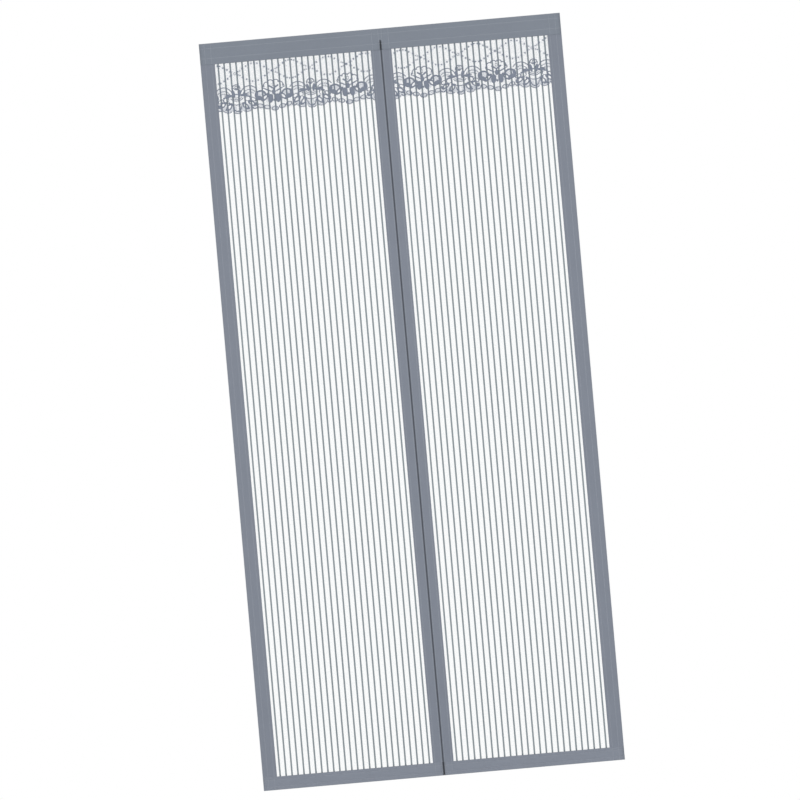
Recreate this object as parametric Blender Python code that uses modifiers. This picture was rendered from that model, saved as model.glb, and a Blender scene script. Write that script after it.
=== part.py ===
"""Magnetic insect screen: two striped net panels that hang from one header and close down the middle.

The front faces -Y and +Z is up. The origin is the middle of the hook tape's back face at the top,
where the screen is fixed to a door frame. "Left" and "right" are as seen from the front.
All sizes are in metres.
"""

import math

import bmesh
import bpy
from mathutils import Matrix, Vector

# Overall size
CURTAIN_WIDTH = 1.015
CURTAIN_HEIGHT = 2.100

# Cloth, and the play left between two layers that are sewn together
CLOTH = 0.0004
CLEARANCE = 0.0003

# Header along the top: the slit between the panels reaches a little way into it
HEADER_HEIGHT = 0.060
SLIT_IN_HEADER = 0.025
SEAM_GAP = 0.0004

# Tapes down the two outer edges, and how deep the net is sewn into each edging
SIDE_TAPE_WIDTH = 0.040
NET_IN_TAPE = 0.008
NET_IN_HEADER = 0.020
NET_IN_HEM = 0.011

# Block magnets in the centre tapes. Each lies in its own pocket between two sewn bars
MAGNET_LENGTH = 0.025
MAGNET_WIDTH = 0.012
MAGNET_THICKNESS = 0.0015
MAGNET_EDGE = 0.0004
MAGNET_PITCH = 0.154
FIRST_MAGNET = 0.065
FOLD_TO_MAGNET = 0.0052
MAGNET_TO_NET = 0.004
SEWN_BAR = 0.0012

# Flat steel weight in the hem of each panel, above the hem's lower row of stitches
WEIGHT_LENGTH = 0.150
WEIGHT_HEIGHT = 0.012
WEIGHT_THICKNESS = 0.002
WEIGHT_EDGE = 0.0005
HEM_ROW = 0.0095
WEIGHT_TO_NET = 0.005

# Net: one thin wall with raised stripes, and windows between them that stand for the open mesh
NET_WALL = 0.0004
STRIPE_PITCH = 0.0168
STRIPE_WIDTH = 0.0046
STRIPE_RISE = 0.0002
CROSS_THREAD = 0.0015
WINDOW_ROWS = 4
WINDOW_TUCK = 0.001

# Lace valance that hangs from the header in front of the net
LACE = 0.0004
LACE_DROP = 0.145
SCALLOP_PITCH = 0.1045
SCALLOP_DEPTH = 0.0125
LACE_PHASE = 0.0041
LACE_BORDER = 0.0015
PICOTS = 8
PICOT_RISE = 0.0018

# Hook tape sewn to the back: a thin woven base with a field of hooks between bare selvedges
HOOK_BASE = 0.0005
HOOK_FIELD = 0.0007
HOOK_SELVEDGE = 0.002
TOP_HOOK_WIDTH = 0.030
TOP_HOOK_FROM_EDGE = 0.0135
SIDE_HOOK_WIDTH = 0.020
SIDE_HOOK_FROM_EDGE = 0.0132
SIDE_HOOK_END_GAP = 0.001

# Finishes: base colour, roughness, metallic
CLOTH_FINISH = ((0.223, 0.250, 0.301), 0.85, 0.0)
NET_FINISH = ((0.270, 0.292, 0.309), 0.80, 0.0)
LACE_FINISH = ((0.215, 0.240, 0.275), 0.80, 0.0)
HOOK_FINISH = ((0.160, 0.180, 0.220), 0.60, 0.0)
MAGNET_FINISH = ((0.55, 0.55, 0.57), 0.30, 1.0)
STEEL_FINISH = ((0.50, 0.51, 0.53), 0.40, 1.0)

FOLD_STEPS = 6
ROUND_POINTS = 6

# Thicknesses and heights that follow from the sizes above
NET_AND_LACE = NET_WALL + STRIPE_RISE + LACE + 3 * CLEARANCE
TAPE_INSIDE = max(MAGNET_THICKNESS + 2 * CLEARANCE, NET_AND_LACE)
TAPE_OUTSIDE = TAPE_INSIDE + 2 * CLOTH
BAND_INSIDE = max(TAPE_OUTSIDE, WEIGHT_THICKNESS) + 2 * CLEARANCE
BAND_OUTSIDE = BAND_INSIDE + 2 * CLOTH
CENTRE_TAPE_WIDTH = FOLD_TO_MAGNET + MAGNET_WIDTH + MAGNET_TO_NET + NET_IN_TAPE
HEM_HEIGHT = HEM_ROW + WEIGHT_HEIGHT + WEIGHT_TO_NET + NET_IN_HEM

# Planes across the thickness: y falls from the hook tape at the back to the header's front
MIDDLE_Y = -(HOOK_BASE + HOOK_FIELD + CLEARANCE + BAND_OUTSIDE / 2)
NET_BACK_Y = MIDDLE_Y + TAPE_INSIDE / 2 - CLEARANCE
NET_FRONT_Y = NET_BACK_Y - NET_WALL
LACE_MIDDLE_Y = NET_FRONT_Y - STRIPE_RISE - CLEARANCE - LACE / 2

# Heights: the origin lies on the top hook tape's centre line
TOP_Z = TOP_HOOK_FROM_EDGE + TOP_HOOK_WIDTH / 2
BOTTOM_Z = TOP_Z - CURTAIN_HEIGHT
HEADER_EDGE_Z = TOP_Z - HEADER_HEIGHT
HEM_EDGE_Z = BOTTOM_Z + HEM_HEIGHT
TAPE_TOP_Z = TOP_Z - BAND_OUTSIDE / 2
TAPE_BOTTOM_Z = BOTTOM_Z + BAND_OUTSIDE / 2

# Distances of a panel's edges from the middle of the screen
OUTER_X = CURTAIN_WIDTH / 2
NET_OUTER_X = OUTER_X - SIDE_TAPE_WIDTH
SEAM_X = SEAM_GAP / 2
NET_INNER_X = SEAM_X + CENTRE_TAPE_WIDTH

SIDES = {"left": -1, "right": 1}


def clear_scene():
    for obj in list(bpy.data.objects):
        bpy.data.objects.remove(obj, do_unlink=True)


def new_collection(name):
    collection = bpy.data.collections.new(name)
    bpy.context.scene.collection.children.link(collection)
    return collection


def add_object(name, data, collection, finish=None):
    """Put mesh or curve data in the scene as a named piece with its own material."""
    obj = bpy.data.objects.new(name, data)
    collection.objects.link(obj)
    if finish:
        colour, roughness, metallic = finish
        material = bpy.data.materials.new(name)
        material.use_nodes = True
        shader = material.node_tree.nodes["Principled BSDF"]
        shader.inputs["Base Color"].default_value = (*colour, 1.0)
        shader.inputs["Roughness"].default_value = roughness
        shader.inputs["Metallic"].default_value = metallic
        obj.data.materials.append(material)
    return obj


def mesh_from(bm, name):
    mesh = bpy.data.meshes.new(name)
    bm.to_mesh(mesh)
    bm.free()
    return mesh


def add_boxes(bm, boxes):
    """Add a box for each pair of opposite corners."""
    for low, high in boxes:
        low, high = Vector(low), Vector(high)
        size = high - low
        place = Matrix.Translation((low + high) / 2) @ Matrix.Diagonal((*size, 1.0))
        bmesh.ops.create_cube(bm, size=1.0, matrix=place)


def ordered(a, b):
    return (a, b) if a < b else (b, a)


def boolean(obj, cutter, operation):
    modifier = obj.modifiers.new(operation.title(), "BOOLEAN")
    modifier.operation = operation
    modifier.solver = "EXACT"
    modifier.object = cutter


def add_cutter(name, boxes):
    bm = bmesh.new()
    add_boxes(bm, boxes)
    cutter = add_object(name, mesh_from(bm, name), cutters)
    cutter.hide_render = True
    cutter.display_type = "WIRE"
    return cutter


def bevel(obj, width):
    modifier = obj.modifiers.new("Bevel", "BEVEL")
    modifier.width = width
    modifier.segments = 1


# Folded tapes

def fold_profile(width, inside):
    """Middle line of a folded tape's section: from the front edge round the fold to the back edge.

    The first number runs from the fold to the open edges, the second across the thickness.
    """
    radius = (inside + CLOTH) / 2
    crown = (inside + 2 * CLOTH) / 2
    points = [(width, -radius)]
    for step in range(FOLD_STEPS + 1):
        angle = -math.pi / 2 - math.pi * step / FOLD_STEPS
        points.append((crown + radius * math.cos(angle), radius * math.sin(angle)))
    points.append((width, radius))
    return points


def folded_tape(name, width, inside, place, travel):
    """A strip of cloth folded over: its section is placed point by point, then drawn along the tape."""
    bm = bmesh.new()
    verts = [bm.verts.new(place(across, depth)) for across, depth in fold_profile(width, inside)]
    edges = [bm.edges.new(pair) for pair in zip(verts, verts[1:])]
    drawn = bmesh.ops.extrude_edge_only(bm, edges=edges)["geom"]
    moved = [part for part in drawn if isinstance(part, bmesh.types.BMVert)]
    bmesh.ops.translate(bm, verts=moved, vec=travel)
    bmesh.ops.recalc_face_normals(bm, faces=bm.faces)
    tape = add_object(name, mesh_from(bm, name), screen, CLOTH_FINISH)
    shell = tape.modifiers.new("Cloth", "SOLIDIFY")
    shell.thickness = CLOTH
    shell.offset = 0.0
    shell.use_even_offset = True
    return tape


def upright_tape(name, fold_x, towards, width):
    """A tape that stands the full height, with its fold at fold_x and its open edges towards the net."""
    def place(across, depth):
        return Vector((fold_x + towards * across, MIDDLE_Y + depth, TAPE_BOTTOM_Z))
    return folded_tape(name, width, TAPE_INSIDE, place, Vector((0, 0, TAPE_TOP_Z - TAPE_BOTTOM_Z)))


def level_band(name, fold_z, upwards, height, start_x, end_x):
    """A band that lies across the screen, with its fold at fold_z."""
    def place(across, depth):
        return Vector((start_x, MIDDLE_Y + depth, fold_z + upwards * across))
    return folded_tape(name, height, BAND_INSIDE, place, Vector((end_x - start_x, 0, 0)))


def header_tape():
    header = level_band("header_tape", TOP_Z, -1, HEADER_HEIGHT, -OUTER_X, OUTER_X)
    slit_low = (-SEAM_X, MIDDLE_Y - BAND_OUTSIDE, HEADER_EDGE_Z - CLEARANCE)
    slit_high = (SEAM_X, MIDDLE_Y + BAND_OUTSIDE, HEADER_EDGE_Z + SLIT_IN_HEADER)
    boolean(header, add_cutter("slit_cutter", [(slit_low, slit_high)]), "DIFFERENCE")


def side_tape(side, sign):
    upright_tape(f"side_tape_{side}", sign * OUTER_X, -sign, SIDE_TAPE_WIDTH)


# Magnets and their pockets

def magnet_heights():
    """Middle of each magnet, from the top one down, for as many as fit above the hem."""
    first = HEADER_EDGE_Z - FIRST_MAGNET
    room = first - (HEM_EDGE_Z + MAGNET_LENGTH / 2 + SEWN_BAR + CLEARANCE)
    count = 1 + int(room / MAGNET_PITCH)
    return [first - index * MAGNET_PITCH for index in range(count)]


def bar_through(low_x, high_x, low_z, high_z, inside):
    """A sewn bar: it joins the front and back layers of a folded tape."""
    reach = inside / 2 + CLOTH / 2
    low_x, high_x = ordered(low_x, high_x)
    return (low_x, MIDDLE_Y - reach, low_z), (high_x, MIDDLE_Y + reach, high_z)


def centre_tape(side, sign):
    tape = upright_tape(f"centre_tape_{side}", sign * SEAM_X, sign, CENTRE_TAPE_WIDTH)
    near = sign * (SEAM_X + FOLD_TO_MAGNET)
    far = near + sign * MAGNET_WIDTH
    bars = []
    for height in magnet_heights():
        above = height + MAGNET_LENGTH / 2 + CLEARANCE
        below = height - MAGNET_LENGTH / 2 - CLEARANCE
        bars.append(bar_through(near, far, above, above + SEWN_BAR, TAPE_INSIDE))
        bars.append(bar_through(near, far, below - SEWN_BAR, below, TAPE_INSIDE))
    boolean(tape, add_cutter(f"pocket_bars_{side}", bars), "UNION")


def magnets(side, sign):
    bm = bmesh.new()
    half = Vector((MAGNET_WIDTH, MAGNET_THICKNESS, MAGNET_LENGTH)) / 2
    add_boxes(bm, [(-half, half)])
    mesh = mesh_from(bm, f"magnet_{side}")
    middle_x = sign * (SEAM_X + FOLD_TO_MAGNET + MAGNET_WIDTH / 2)
    for number, height in enumerate(magnet_heights(), start=1):
        magnet = add_object(f"magnet_{side}_{number:02d}", mesh.copy(), screen, MAGNET_FINISH)
        magnet.location = (middle_x, MIDDLE_Y, height)
        bevel(magnet, MAGNET_EDGE)


# Hems and their weights

def weight_span():
    """Distances from the middle of the screen to the near and far ends of a hem's weight."""
    near = NET_INNER_X + CLEARANCE + SEWN_BAR + CLEARANCE
    return near, near + WEIGHT_LENGTH


def hem(side, sign):
    band = level_band(f"hem_{side}", BOTTOM_Z, 1, HEM_HEIGHT, sign * SEAM_X, sign * OUTER_X)
    near, far = weight_span()
    row_top = BOTTOM_Z + HEM_ROW
    stop_low = row_top + CLEARANCE
    stop_high = stop_low + WEIGHT_HEIGHT
    bars = [
        bar_through(sign * near, sign * far, row_top - SEWN_BAR, row_top, BAND_INSIDE),
        bar_through(sign * (near - CLEARANCE), sign * (near - CLEARANCE - SEWN_BAR),
                    stop_low, stop_high, BAND_INSIDE),
        bar_through(sign * (far + CLEARANCE), sign * (far + CLEARANCE + SEWN_BAR),
                    stop_low, stop_high, BAND_INSIDE),
    ]
    boolean(band, add_cutter(f"weight_bars_{side}", bars), "UNION")


def hem_weight(side, sign):
    near, far = weight_span()
    bm = bmesh.new()
    half = Vector((WEIGHT_LENGTH, WEIGHT_THICKNESS, WEIGHT_HEIGHT)) / 2
    add_boxes(bm, [(-half, half)])
    weight = add_object(f"hem_weight_{side}", mesh_from(bm, f"hem_weight_{side}"), screen, STEEL_FINISH)
    height = BOTTOM_Z + HEM_ROW + CLEARANCE + WEIGHT_HEIGHT / 2
    weight.location = (sign * (near + far) / 2, MIDDLE_Y, height)
    bevel(weight, WEIGHT_EDGE)


# Net panels

def net_columns():
    """Lines across a panel, from its inner edge out, and which strips between them are stripe or window."""
    width = NET_OUTER_X - NET_INNER_X
    stripes = int(width / STRIPE_PITCH)
    first = NET_INNER_X + (width - (stripes - 1) * STRIPE_PITCH) / 2
    lines = [NET_INNER_X - NET_IN_TAPE, NET_INNER_X - WINDOW_TUCK]
    kinds = ["edge"]
    for index in range(stripes):
        middle = first + index * STRIPE_PITCH
        lines += [middle - STRIPE_WIDTH / 2, middle + STRIPE_WIDTH / 2]
        kinds += ["window", "stripe"]
    lines += [NET_OUTER_X + WINDOW_TUCK, NET_OUTER_X + NET_IN_TAPE]
    kinds += ["window", "edge"]
    return lines, kinds


def net_rows():
    """Lines up a panel, and which strips between them hold windows."""
    low = HEM_EDGE_Z - WINDOW_TUCK
    high = HEADER_EDGE_Z + WINDOW_TUCK
    window = (high - low - (WINDOW_ROWS - 1) * CROSS_THREAD) / WINDOW_ROWS
    lines = [HEM_EDGE_Z - NET_IN_HEM]
    kinds = ["edge"]
    for index in range(WINDOW_ROWS):
        start = low + index * (window + CROSS_THREAD)
        lines += [start, start + window]
        kinds += ["window", "thread"]
    lines.append(HEADER_EDGE_Z + NET_IN_HEADER)
    kinds[-1] = "edge"
    return lines, kinds


def strip_of(value, lines):
    """Number of the strip between two lines that holds a value."""
    return next(index for index, line in enumerate(lines[1:]) if value < line)


def net(side, sign):
    across, column_kinds = net_columns()
    up, row_kinds = net_rows()
    bm = bmesh.new()
    grid = bmesh.ops.create_grid(bm, x_segments=len(across) - 1, y_segments=len(up) - 1, size=0.5)
    for vert in grid["verts"]:
        column = round((vert.co.x + 0.5) * (len(across) - 1))
        row = round((vert.co.y + 0.5) * (len(up) - 1))
        vert.co = (across[column], NET_BACK_Y, up[row])

    def kinds_at(face):
        middle = face.calc_center_median()
        return column_kinds[strip_of(middle.x, across)], row_kinds[strip_of(middle.z, up)]

    windows = [face for face in bm.faces if kinds_at(face) == ("window", "window")]
    bmesh.ops.delete(bm, geom=windows, context="FACES")

    wall = bmesh.ops.extrude_face_region(bm, geom=bm.faces[:])["geom"]
    front = [part for part in wall if isinstance(part, bmesh.types.BMVert)]
    bmesh.ops.translate(bm, verts=front, vec=(0, -NET_WALL, 0))

    front_faces = [part for part in wall if isinstance(part, bmesh.types.BMFace)]
    striped = [face for face in front_faces if kinds_at(face)[0] == "stripe"]
    raised = bmesh.ops.extrude_face_region(bm, geom=striped)["geom"]
    bmesh.ops.delete(bm, geom=striped, context="FACES")
    crest = [part for part in raised if isinstance(part, bmesh.types.BMVert)]
    bmesh.ops.translate(bm, verts=crest, vec=(0, -STRIPE_RISE, 0))

    # Each stripe's top and sides become single faces along the whole height
    top_y = NET_FRONT_Y - STRIPE_RISE / 2
    spare = [edge for edge in bm.edges if max(vert.co.y for vert in edge.verts) < top_y
             and edge.verts[0].co.x != edge.verts[1].co.x
             and up[0] < edge.verts[0].co.z < up[-1]]
    spare += [edge for edge in bm.edges if min(vert.co.y for vert in edge.verts) < top_y
              < max(vert.co.y for vert in edge.verts)
              and up[0] < edge.verts[0].co.z < up[-1]]
    bmesh.ops.dissolve_edges(bm, edges=spare, use_verts=True)

    if sign < 0:
        bmesh.ops.scale(bm, verts=bm.verts, vec=(-1, 1, 1))
    bmesh.ops.recalc_face_normals(bm, faces=bm.faces)
    add_object(f"net_{side}", mesh_from(bm, f"net_{side}"), screen, NET_FINISH)


# Lace valance
# A motif is drawn in units of the scallop pitch: the first number runs across from the motif's
# middle, the second up from the points between two scallops.

def oval(x, z, half_length, half_width, tilt=0.0, points=ROUND_POINTS):
    turn = math.radians(tilt)
    outline = []
    for index in range(points):
        angle = 2 * math.pi * index / points
        along = half_length * math.cos(angle)
        aside = half_width * math.sin(angle)
        outline.append((x + along * math.cos(turn) - aside * math.sin(turn),
                        z + along * math.sin(turn) + aside * math.cos(turn)))
    return outline


def arc(x, z, radius, start, end, steps=3):
    """Points along an arc from one angle to another, anticlockwise from the right."""
    angles = [math.radians(start + (end - start) * step / steps) for step in range(steps + 1)]
    return [(x + radius * math.cos(angle), z + radius * math.sin(angle)) for angle in angles]


def arc_window(x, z, inner, outer, start, end, steps=3):
    """The space between two arcs about one centre."""
    return arc(x, z, outer, start, end, steps) + arc(x, z, inner, end, start, steps)


def mirrored(half):
    """A whole outline from its right half, which is listed from the top middle to the bottom middle."""
    return half + [(-x, z) for x, z in reversed(half) if x > 0]


ARCH = (0.0, 0.459)
SHELL = (0.354, 0.349)
SMILE = (0.0, 0.407)


def arch_flower():
    """A small bloom under an arch, over two broad petals, with a wing and a leaf on either side."""
    holes = [arc_window(*ARCH, 0.172, 0.244, 12, 52, 2), arc_window(*ARCH, 0.140, 0.244, 60, 86, 2),
             arc_window(*ARCH, 0.140, 0.244, 94, 120, 2), arc_window(*ARCH, 0.172, 0.244, 128, 168, 2)]
    holes += [oval(0, 0.254, 0.046, 0.030, 90), oval(0, 0.060, 0.070, 0.034), oval(0, -0.043, 0.040, 0.027)]
    for way in (-1, 1):
        holes.append(oval(way * 0.083, 0.478, 0.066, 0.032, way * 42))
        holes.append(oval(way * 0.158, 0.375, 0.090, 0.036, way * 27))
        holes.append(oval(way * 0.325, 0.359, 0.098, 0.050))
        holes.append(oval(way * 0.245, 0.264, 0.084, 0.030, -way * 40))
        holes.append(oval(way * 0.153, 0.091, 0.066, 0.032, way * 14))
        holes.append(oval(way * 0.297, 0.139, 0.066, 0.032, way * 14))
        holes.append(oval(way * 0.426, 0.165, 0.045, 0.028, way * 10))
        holes.append(oval(way * 0.201, 0.005, 0.042, 0.027, way * 15))
        holes.append(oval(way * 0.383, 0.053, 0.040, 0.027, way * 15))
    return holes


def bud_flower():
    """A bud between two striped shells, over arcs that smile, and two pairs of slanting leaves."""
    holes = [oval(0, 0.450, 0.043, 0.016, 90), oval(0, 0.349, 0.055, 0.030), oval(0, 0.029, 0.056, 0.036, 90)]
    holes += [arc_window(*SMILE, 0.146, 0.170, 215, 325), arc_window(*SMILE, 0.213, 0.253, 218, 322)]
    for way in (-1, 1):
        x, z = way * SHELL[0], SHELL[1]
        middle = 90 + way * 22.5
        holes.append(arc_window(x, z, 0.187, 0.230, middle - 52, middle + 52))
        holes.append(arc_window(x, z, 0.110, 0.139, middle - 52, middle + 60))
        holes.append(oval(way * 0.383, 0.370, 0.042, 0.032))
        holes.append(oval(way * 0.051, 0.524, 0.045, 0.018, way * 48))
        holes.append(oval(way * 0.282, 0.268, 0.044, 0.036))
        holes.append(oval(way * 0.429, 0.240, 0.046, 0.024, -way * 30))
        holes.append(oval(way * 0.392, 0.141, 0.070, 0.030, -way * 35))
        holes.append(oval(way * 0.218, 0.083, 0.070, 0.031, -way * 45))
    return holes


# The open ground has two thin chains in it, which cross above every motif and meet above the shells
FLOWER_RADIUS = 0.285
CHAIN_SLOPE = 0.565
CHAIN_HALF = 0.012
CHAIN_OVER_SHELL = 0.040


def ground_windows(arched):
    """The windows of the open ground about one motif: above the chains, between them, and below them."""
    meeting = SHELL[1] + FLOWER_RADIUS + CHAIN_OVER_SHELL + CHAIN_HALF
    crossing = meeting + CHAIN_SLOPE / 2
    reach = 0.5 - CHAIN_HALF / CHAIN_SLOPE
    top = crossing + CHAIN_HALF + CHAIN_SLOPE * reach
    above = [(0, crossing + CHAIN_HALF), (reach, top), (-reach, top)]
    rise = CHAIN_SLOPE * reach
    between = [(0.5 - reach, crossing), (0.5, crossing - rise), (0.5 + reach, crossing), (0.5, crossing + rise)]
    side = 0.5 - CHAIN_HALF
    below = [(0, crossing - CHAIN_HALF), (side, crossing - CHAIN_HALF - CHAIN_SLOPE * side)]
    if arched:
        below += [(side, 0.575), (0.41, 0.515), (0.36, 0.48), (0.315, 0.485)]
        below += arc(*ARCH, FLOWER_RADIUS, 10, 82, 5)
    else:
        below += arc(*SHELL, FLOWER_RADIUS, 62, 130, 4) + arc(0, 0.56, 0.145, 20, 80)
    return [above, between, mirrored(below)]


def cut_at(outline, limit, way):
    """The part of a pointed window that lies on one side of an upright line."""
    kept = []
    for (x, z), (next_x, next_z) in zip(outline, outline[1:] + outline[:1]):
        inside = (x - limit) * way > 0
        if inside:
            kept.append((x, z))
        if inside != ((next_x - limit) * way > 0):
            share = (limit - x) / (next_x - x)
            kept.append((limit, z + share * (next_z - z)))
    return kept


def lace_holes(low_x, high_x):
    """Every hole between the two ends, in metres from the origin.

    A flower's hole is left out where an end would cut it, and the ground's windows are cut at the border.
    """
    pitch = SCALLOP_PITCH
    valley_z = HEADER_EDGE_Z - LACE_DROP + SCALLOP_DEPTH
    first = math.floor((low_x - LACE_PHASE) / pitch)
    last = math.ceil((high_x - LACE_PHASE) / pitch)
    holes = []
    for motif in range(first, last + 1):
        middle = LACE_PHASE + motif * pitch

        def placed(outlines):
            return [[(middle + x * pitch, valley_z + z * pitch) for x, z in outline] for outline in outlines]

        flowers = placed(arch_flower() if motif % 2 else bud_flower())
        holes += [hole for hole in flowers
                  if all(low_x + LACE_BORDER < x < high_x - LACE_BORDER for x, z in hole)]
        for hole in placed(ground_windows(motif % 2)):
            hole = cut_at(cut_at(hole, low_x + LACE_BORDER, 1), high_x - LACE_BORDER, -1)
            xs = [x for x, z in hole]
            if xs and max(xs) - min(xs) > 2 * LACE_BORDER:
                holes.append(hole)
    return holes


def scallop_edge(low_x, high_x):
    """The lace's lower edge: arcs between the scallops' points, each with a row of small picots."""
    valley_z = HEADER_EDGE_Z - LACE_DROP + SCALLOP_DEPTH

    def edge_at(position):
        within = position % 1.0
        return valley_z - SCALLOP_DEPTH * math.sin(math.pi * within)

    steps = 2 * PICOTS
    start = math.ceil(((low_x - LACE_PHASE) / SCALLOP_PITCH + 0.5) * steps + 0.5)
    end = math.floor(((high_x - LACE_PHASE) / SCALLOP_PITCH + 0.5) * steps - 0.5)
    points = [(low_x, edge_at((low_x - LACE_PHASE) / SCALLOP_PITCH + 0.5))]
    for step in range(start, end + 1):
        x = LACE_PHASE + (step / steps - 0.5) * SCALLOP_PITCH
        points.append((x, edge_at(step / steps) + (0 if step % 2 else PICOT_RISE)))
    points.append((high_x, edge_at((high_x - LACE_PHASE) / SCALLOP_PITCH + 0.5)))
    return points


def lace(side, sign):
    low_x, high_x = ordered(sign * (NET_INNER_X - NET_IN_TAPE), sign * (NET_OUTER_X + NET_IN_TAPE))
    top_z = HEADER_EDGE_Z + NET_IN_HEADER
    outline = scallop_edge(low_x, high_x) + [(high_x, top_z), (low_x, top_z)]
    curve = bpy.data.curves.new(f"lace_{side}", "CURVE")
    curve.dimensions = "2D"
    curve.fill_mode = "BOTH"
    curve.extrude = LACE / 2
    for points in [outline] + lace_holes(low_x, high_x):
        spline = curve.splines.new("POLY")
        spline.points.add(len(points) - 1)
        for point, (x, z) in zip(spline.points, points):
            point.co = (x, z, 0, 1)
        spline.use_cyclic_u = True
    piece = add_object(f"lace_{side}", curve, screen, LACE_FINISH)
    piece.rotation_euler = (math.pi / 2, 0, 0)
    piece.location = (0, LACE_MIDDLE_Y, 0)


# Hook tape on the back

def hook_profile(width):
    """Section of a hook tape: the base faces the screen, and the hook field faces the door frame."""
    half = width / 2
    field = half - HOOK_SELVEDGE
    back = HOOK_BASE + HOOK_FIELD
    return [(-half, 0), (half, 0), (half, HOOK_BASE), (field, HOOK_BASE),
            (field, back), (-field, back), (-field, HOOK_BASE), (-half, HOOK_BASE)]


def hook_tape(name, width, length, location, rotation):
    curve = bpy.data.curves.new(name, "CURVE")
    curve.dimensions = "2D"
    curve.fill_mode = "BOTH"
    curve.extrude = length / 2
    points = hook_profile(width)
    spline = curve.splines.new("POLY")
    spline.points.add(len(points) - 1)
    for point, (across, depth) in zip(spline.points, points):
        point.co = (across, depth, 0, 1)
    spline.use_cyclic_u = True
    piece = add_object(name, curve, screen, HOOK_FINISH)
    piece.location = location
    piece.rotation_euler = rotation


def top_hook_tape():
    front_y = MIDDLE_Y + BAND_OUTSIDE / 2 + CLEARANCE
    hook_tape("hook_tape_top", TOP_HOOK_WIDTH, CURTAIN_WIDTH, (0, front_y, 0), (0, math.pi / 2, 0))


def side_hook_tape(side, sign):
    high_z = HEADER_EDGE_Z - SIDE_HOOK_END_GAP
    low_z = HEM_EDGE_Z + SIDE_HOOK_END_GAP
    middle_x = sign * (OUTER_X - SIDE_HOOK_FROM_EDGE - SIDE_HOOK_WIDTH / 2)
    front_y = MIDDLE_Y + TAPE_OUTSIDE / 2 + CLEARANCE
    place = (middle_x, front_y, (high_z + low_z) / 2)
    hook_tape(f"hook_tape_{side}", SIDE_HOOK_WIDTH, high_z - low_z, place, (0, 0, 0))


clear_scene()
screen = new_collection("magnetic_insect_screen")
cutters = new_collection("cutters")

header_tape()
top_hook_tape()
for side_name, side_sign in SIDES.items():
    side_tape(side_name, side_sign)
    centre_tape(side_name, side_sign)
    magnets(side_name, side_sign)
    hem(side_name, side_sign)
    hem_weight(side_name, side_sign)
    net(side_name, side_sign)
    lace(side_name, side_sign)
    side_hook_tape(side_name, side_sign)
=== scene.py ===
# %% [markdown]
# # A magnetic insect screen for a doorway
# Two striped nets hang side by side from one header tape. Each has a side tape, a centre tape with
# magnets in its pockets, a hem with a steel weight, and a band of lace across its top.
# The measured model gives every piece its size and place. This script sews the cloth around it.

# %% Load the measured model
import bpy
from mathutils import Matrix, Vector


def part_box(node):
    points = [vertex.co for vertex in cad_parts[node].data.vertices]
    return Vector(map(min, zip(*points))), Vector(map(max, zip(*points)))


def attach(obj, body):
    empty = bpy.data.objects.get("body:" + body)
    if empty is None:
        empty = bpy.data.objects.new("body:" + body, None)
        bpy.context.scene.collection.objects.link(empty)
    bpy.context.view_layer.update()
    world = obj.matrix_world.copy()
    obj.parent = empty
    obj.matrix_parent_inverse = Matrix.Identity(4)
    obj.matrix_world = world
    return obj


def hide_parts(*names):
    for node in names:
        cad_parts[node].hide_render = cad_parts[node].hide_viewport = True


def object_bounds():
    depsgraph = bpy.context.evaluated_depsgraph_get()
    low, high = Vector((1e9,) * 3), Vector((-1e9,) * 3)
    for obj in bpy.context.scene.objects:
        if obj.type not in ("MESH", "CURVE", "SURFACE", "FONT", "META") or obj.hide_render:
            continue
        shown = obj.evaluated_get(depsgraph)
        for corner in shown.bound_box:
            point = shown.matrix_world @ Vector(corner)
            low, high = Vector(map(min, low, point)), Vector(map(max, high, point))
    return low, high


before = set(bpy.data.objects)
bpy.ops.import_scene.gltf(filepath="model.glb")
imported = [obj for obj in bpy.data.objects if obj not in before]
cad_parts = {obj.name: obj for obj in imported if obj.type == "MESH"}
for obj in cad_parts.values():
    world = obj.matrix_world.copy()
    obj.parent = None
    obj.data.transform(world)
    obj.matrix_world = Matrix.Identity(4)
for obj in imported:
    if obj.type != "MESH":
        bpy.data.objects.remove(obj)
cad_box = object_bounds()
print("the model measures", [round(high - low, 4) for low, high in zip(*cad_box)], "m")

# %% [markdown]
# Lengths in a scene are in metres, so MM turns millimetres into them. The screen stands upright in Z
# and looks towards smaller Y. Left is the side of smaller X, which is on the left from the front.

# %% Modules, and what the whole script shares
import math

import bmesh
import bpy
from mathutils import Matrix, Vector, noise

MM = 0.001
SIDES = (("left", -1), ("right", 1))


def new_object(name, data):
    made = bpy.data.objects.new(name, data)
    bpy.context.scene.collection.objects.link(made)
    return made


# %% [markdown]
# ## Camera, floor and light
# The screen is flat and is seen square on, leaning five degrees. A camera without perspective shows
# a flat thing most truly. The lean is made by turning the camera about its own line of sight.

# %% Camera
LEAN = math.radians(5.0)
VIEW_WIDTH = 2.2409
PICTURE_PIXELS = 800
PIXELS_LEFT = 11.8
PIXELS_UP = 1.9
AIM_ACROSS = -PIXELS_LEFT * VIEW_WIDTH / PICTURE_PIXELS
AIM_UP = PIXELS_UP * VIEW_WIDTH / PICTURE_PIXELS
CAMERA_DISTANCE = 6.0

across = Vector((math.cos(LEAN), 0.0, -math.sin(LEAN)))
upward = Vector((math.sin(LEAN), 0.0, math.cos(LEAN)))
middle = (cad_box[0] + cad_box[1]) / 2
eye = middle + across * AIM_ACROSS + upward * AIM_UP + Vector((0.0, -CAMERA_DISTANCE, 0.0))
lens = bpy.data.cameras.new("camera")
lens.type = "ORTHO"
lens.ortho_scale = VIEW_WIDTH
camera = new_object("camera", lens)
facing = Matrix((across, upward, Vector((0.0, -1.0, 0.0)))).transposed()
camera.matrix_world = Matrix.Translation(eye) @ facing.to_4x4()
bpy.context.scene.camera = camera
print("the camera leans", round(math.degrees(LEAN), 1), "degrees")

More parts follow.
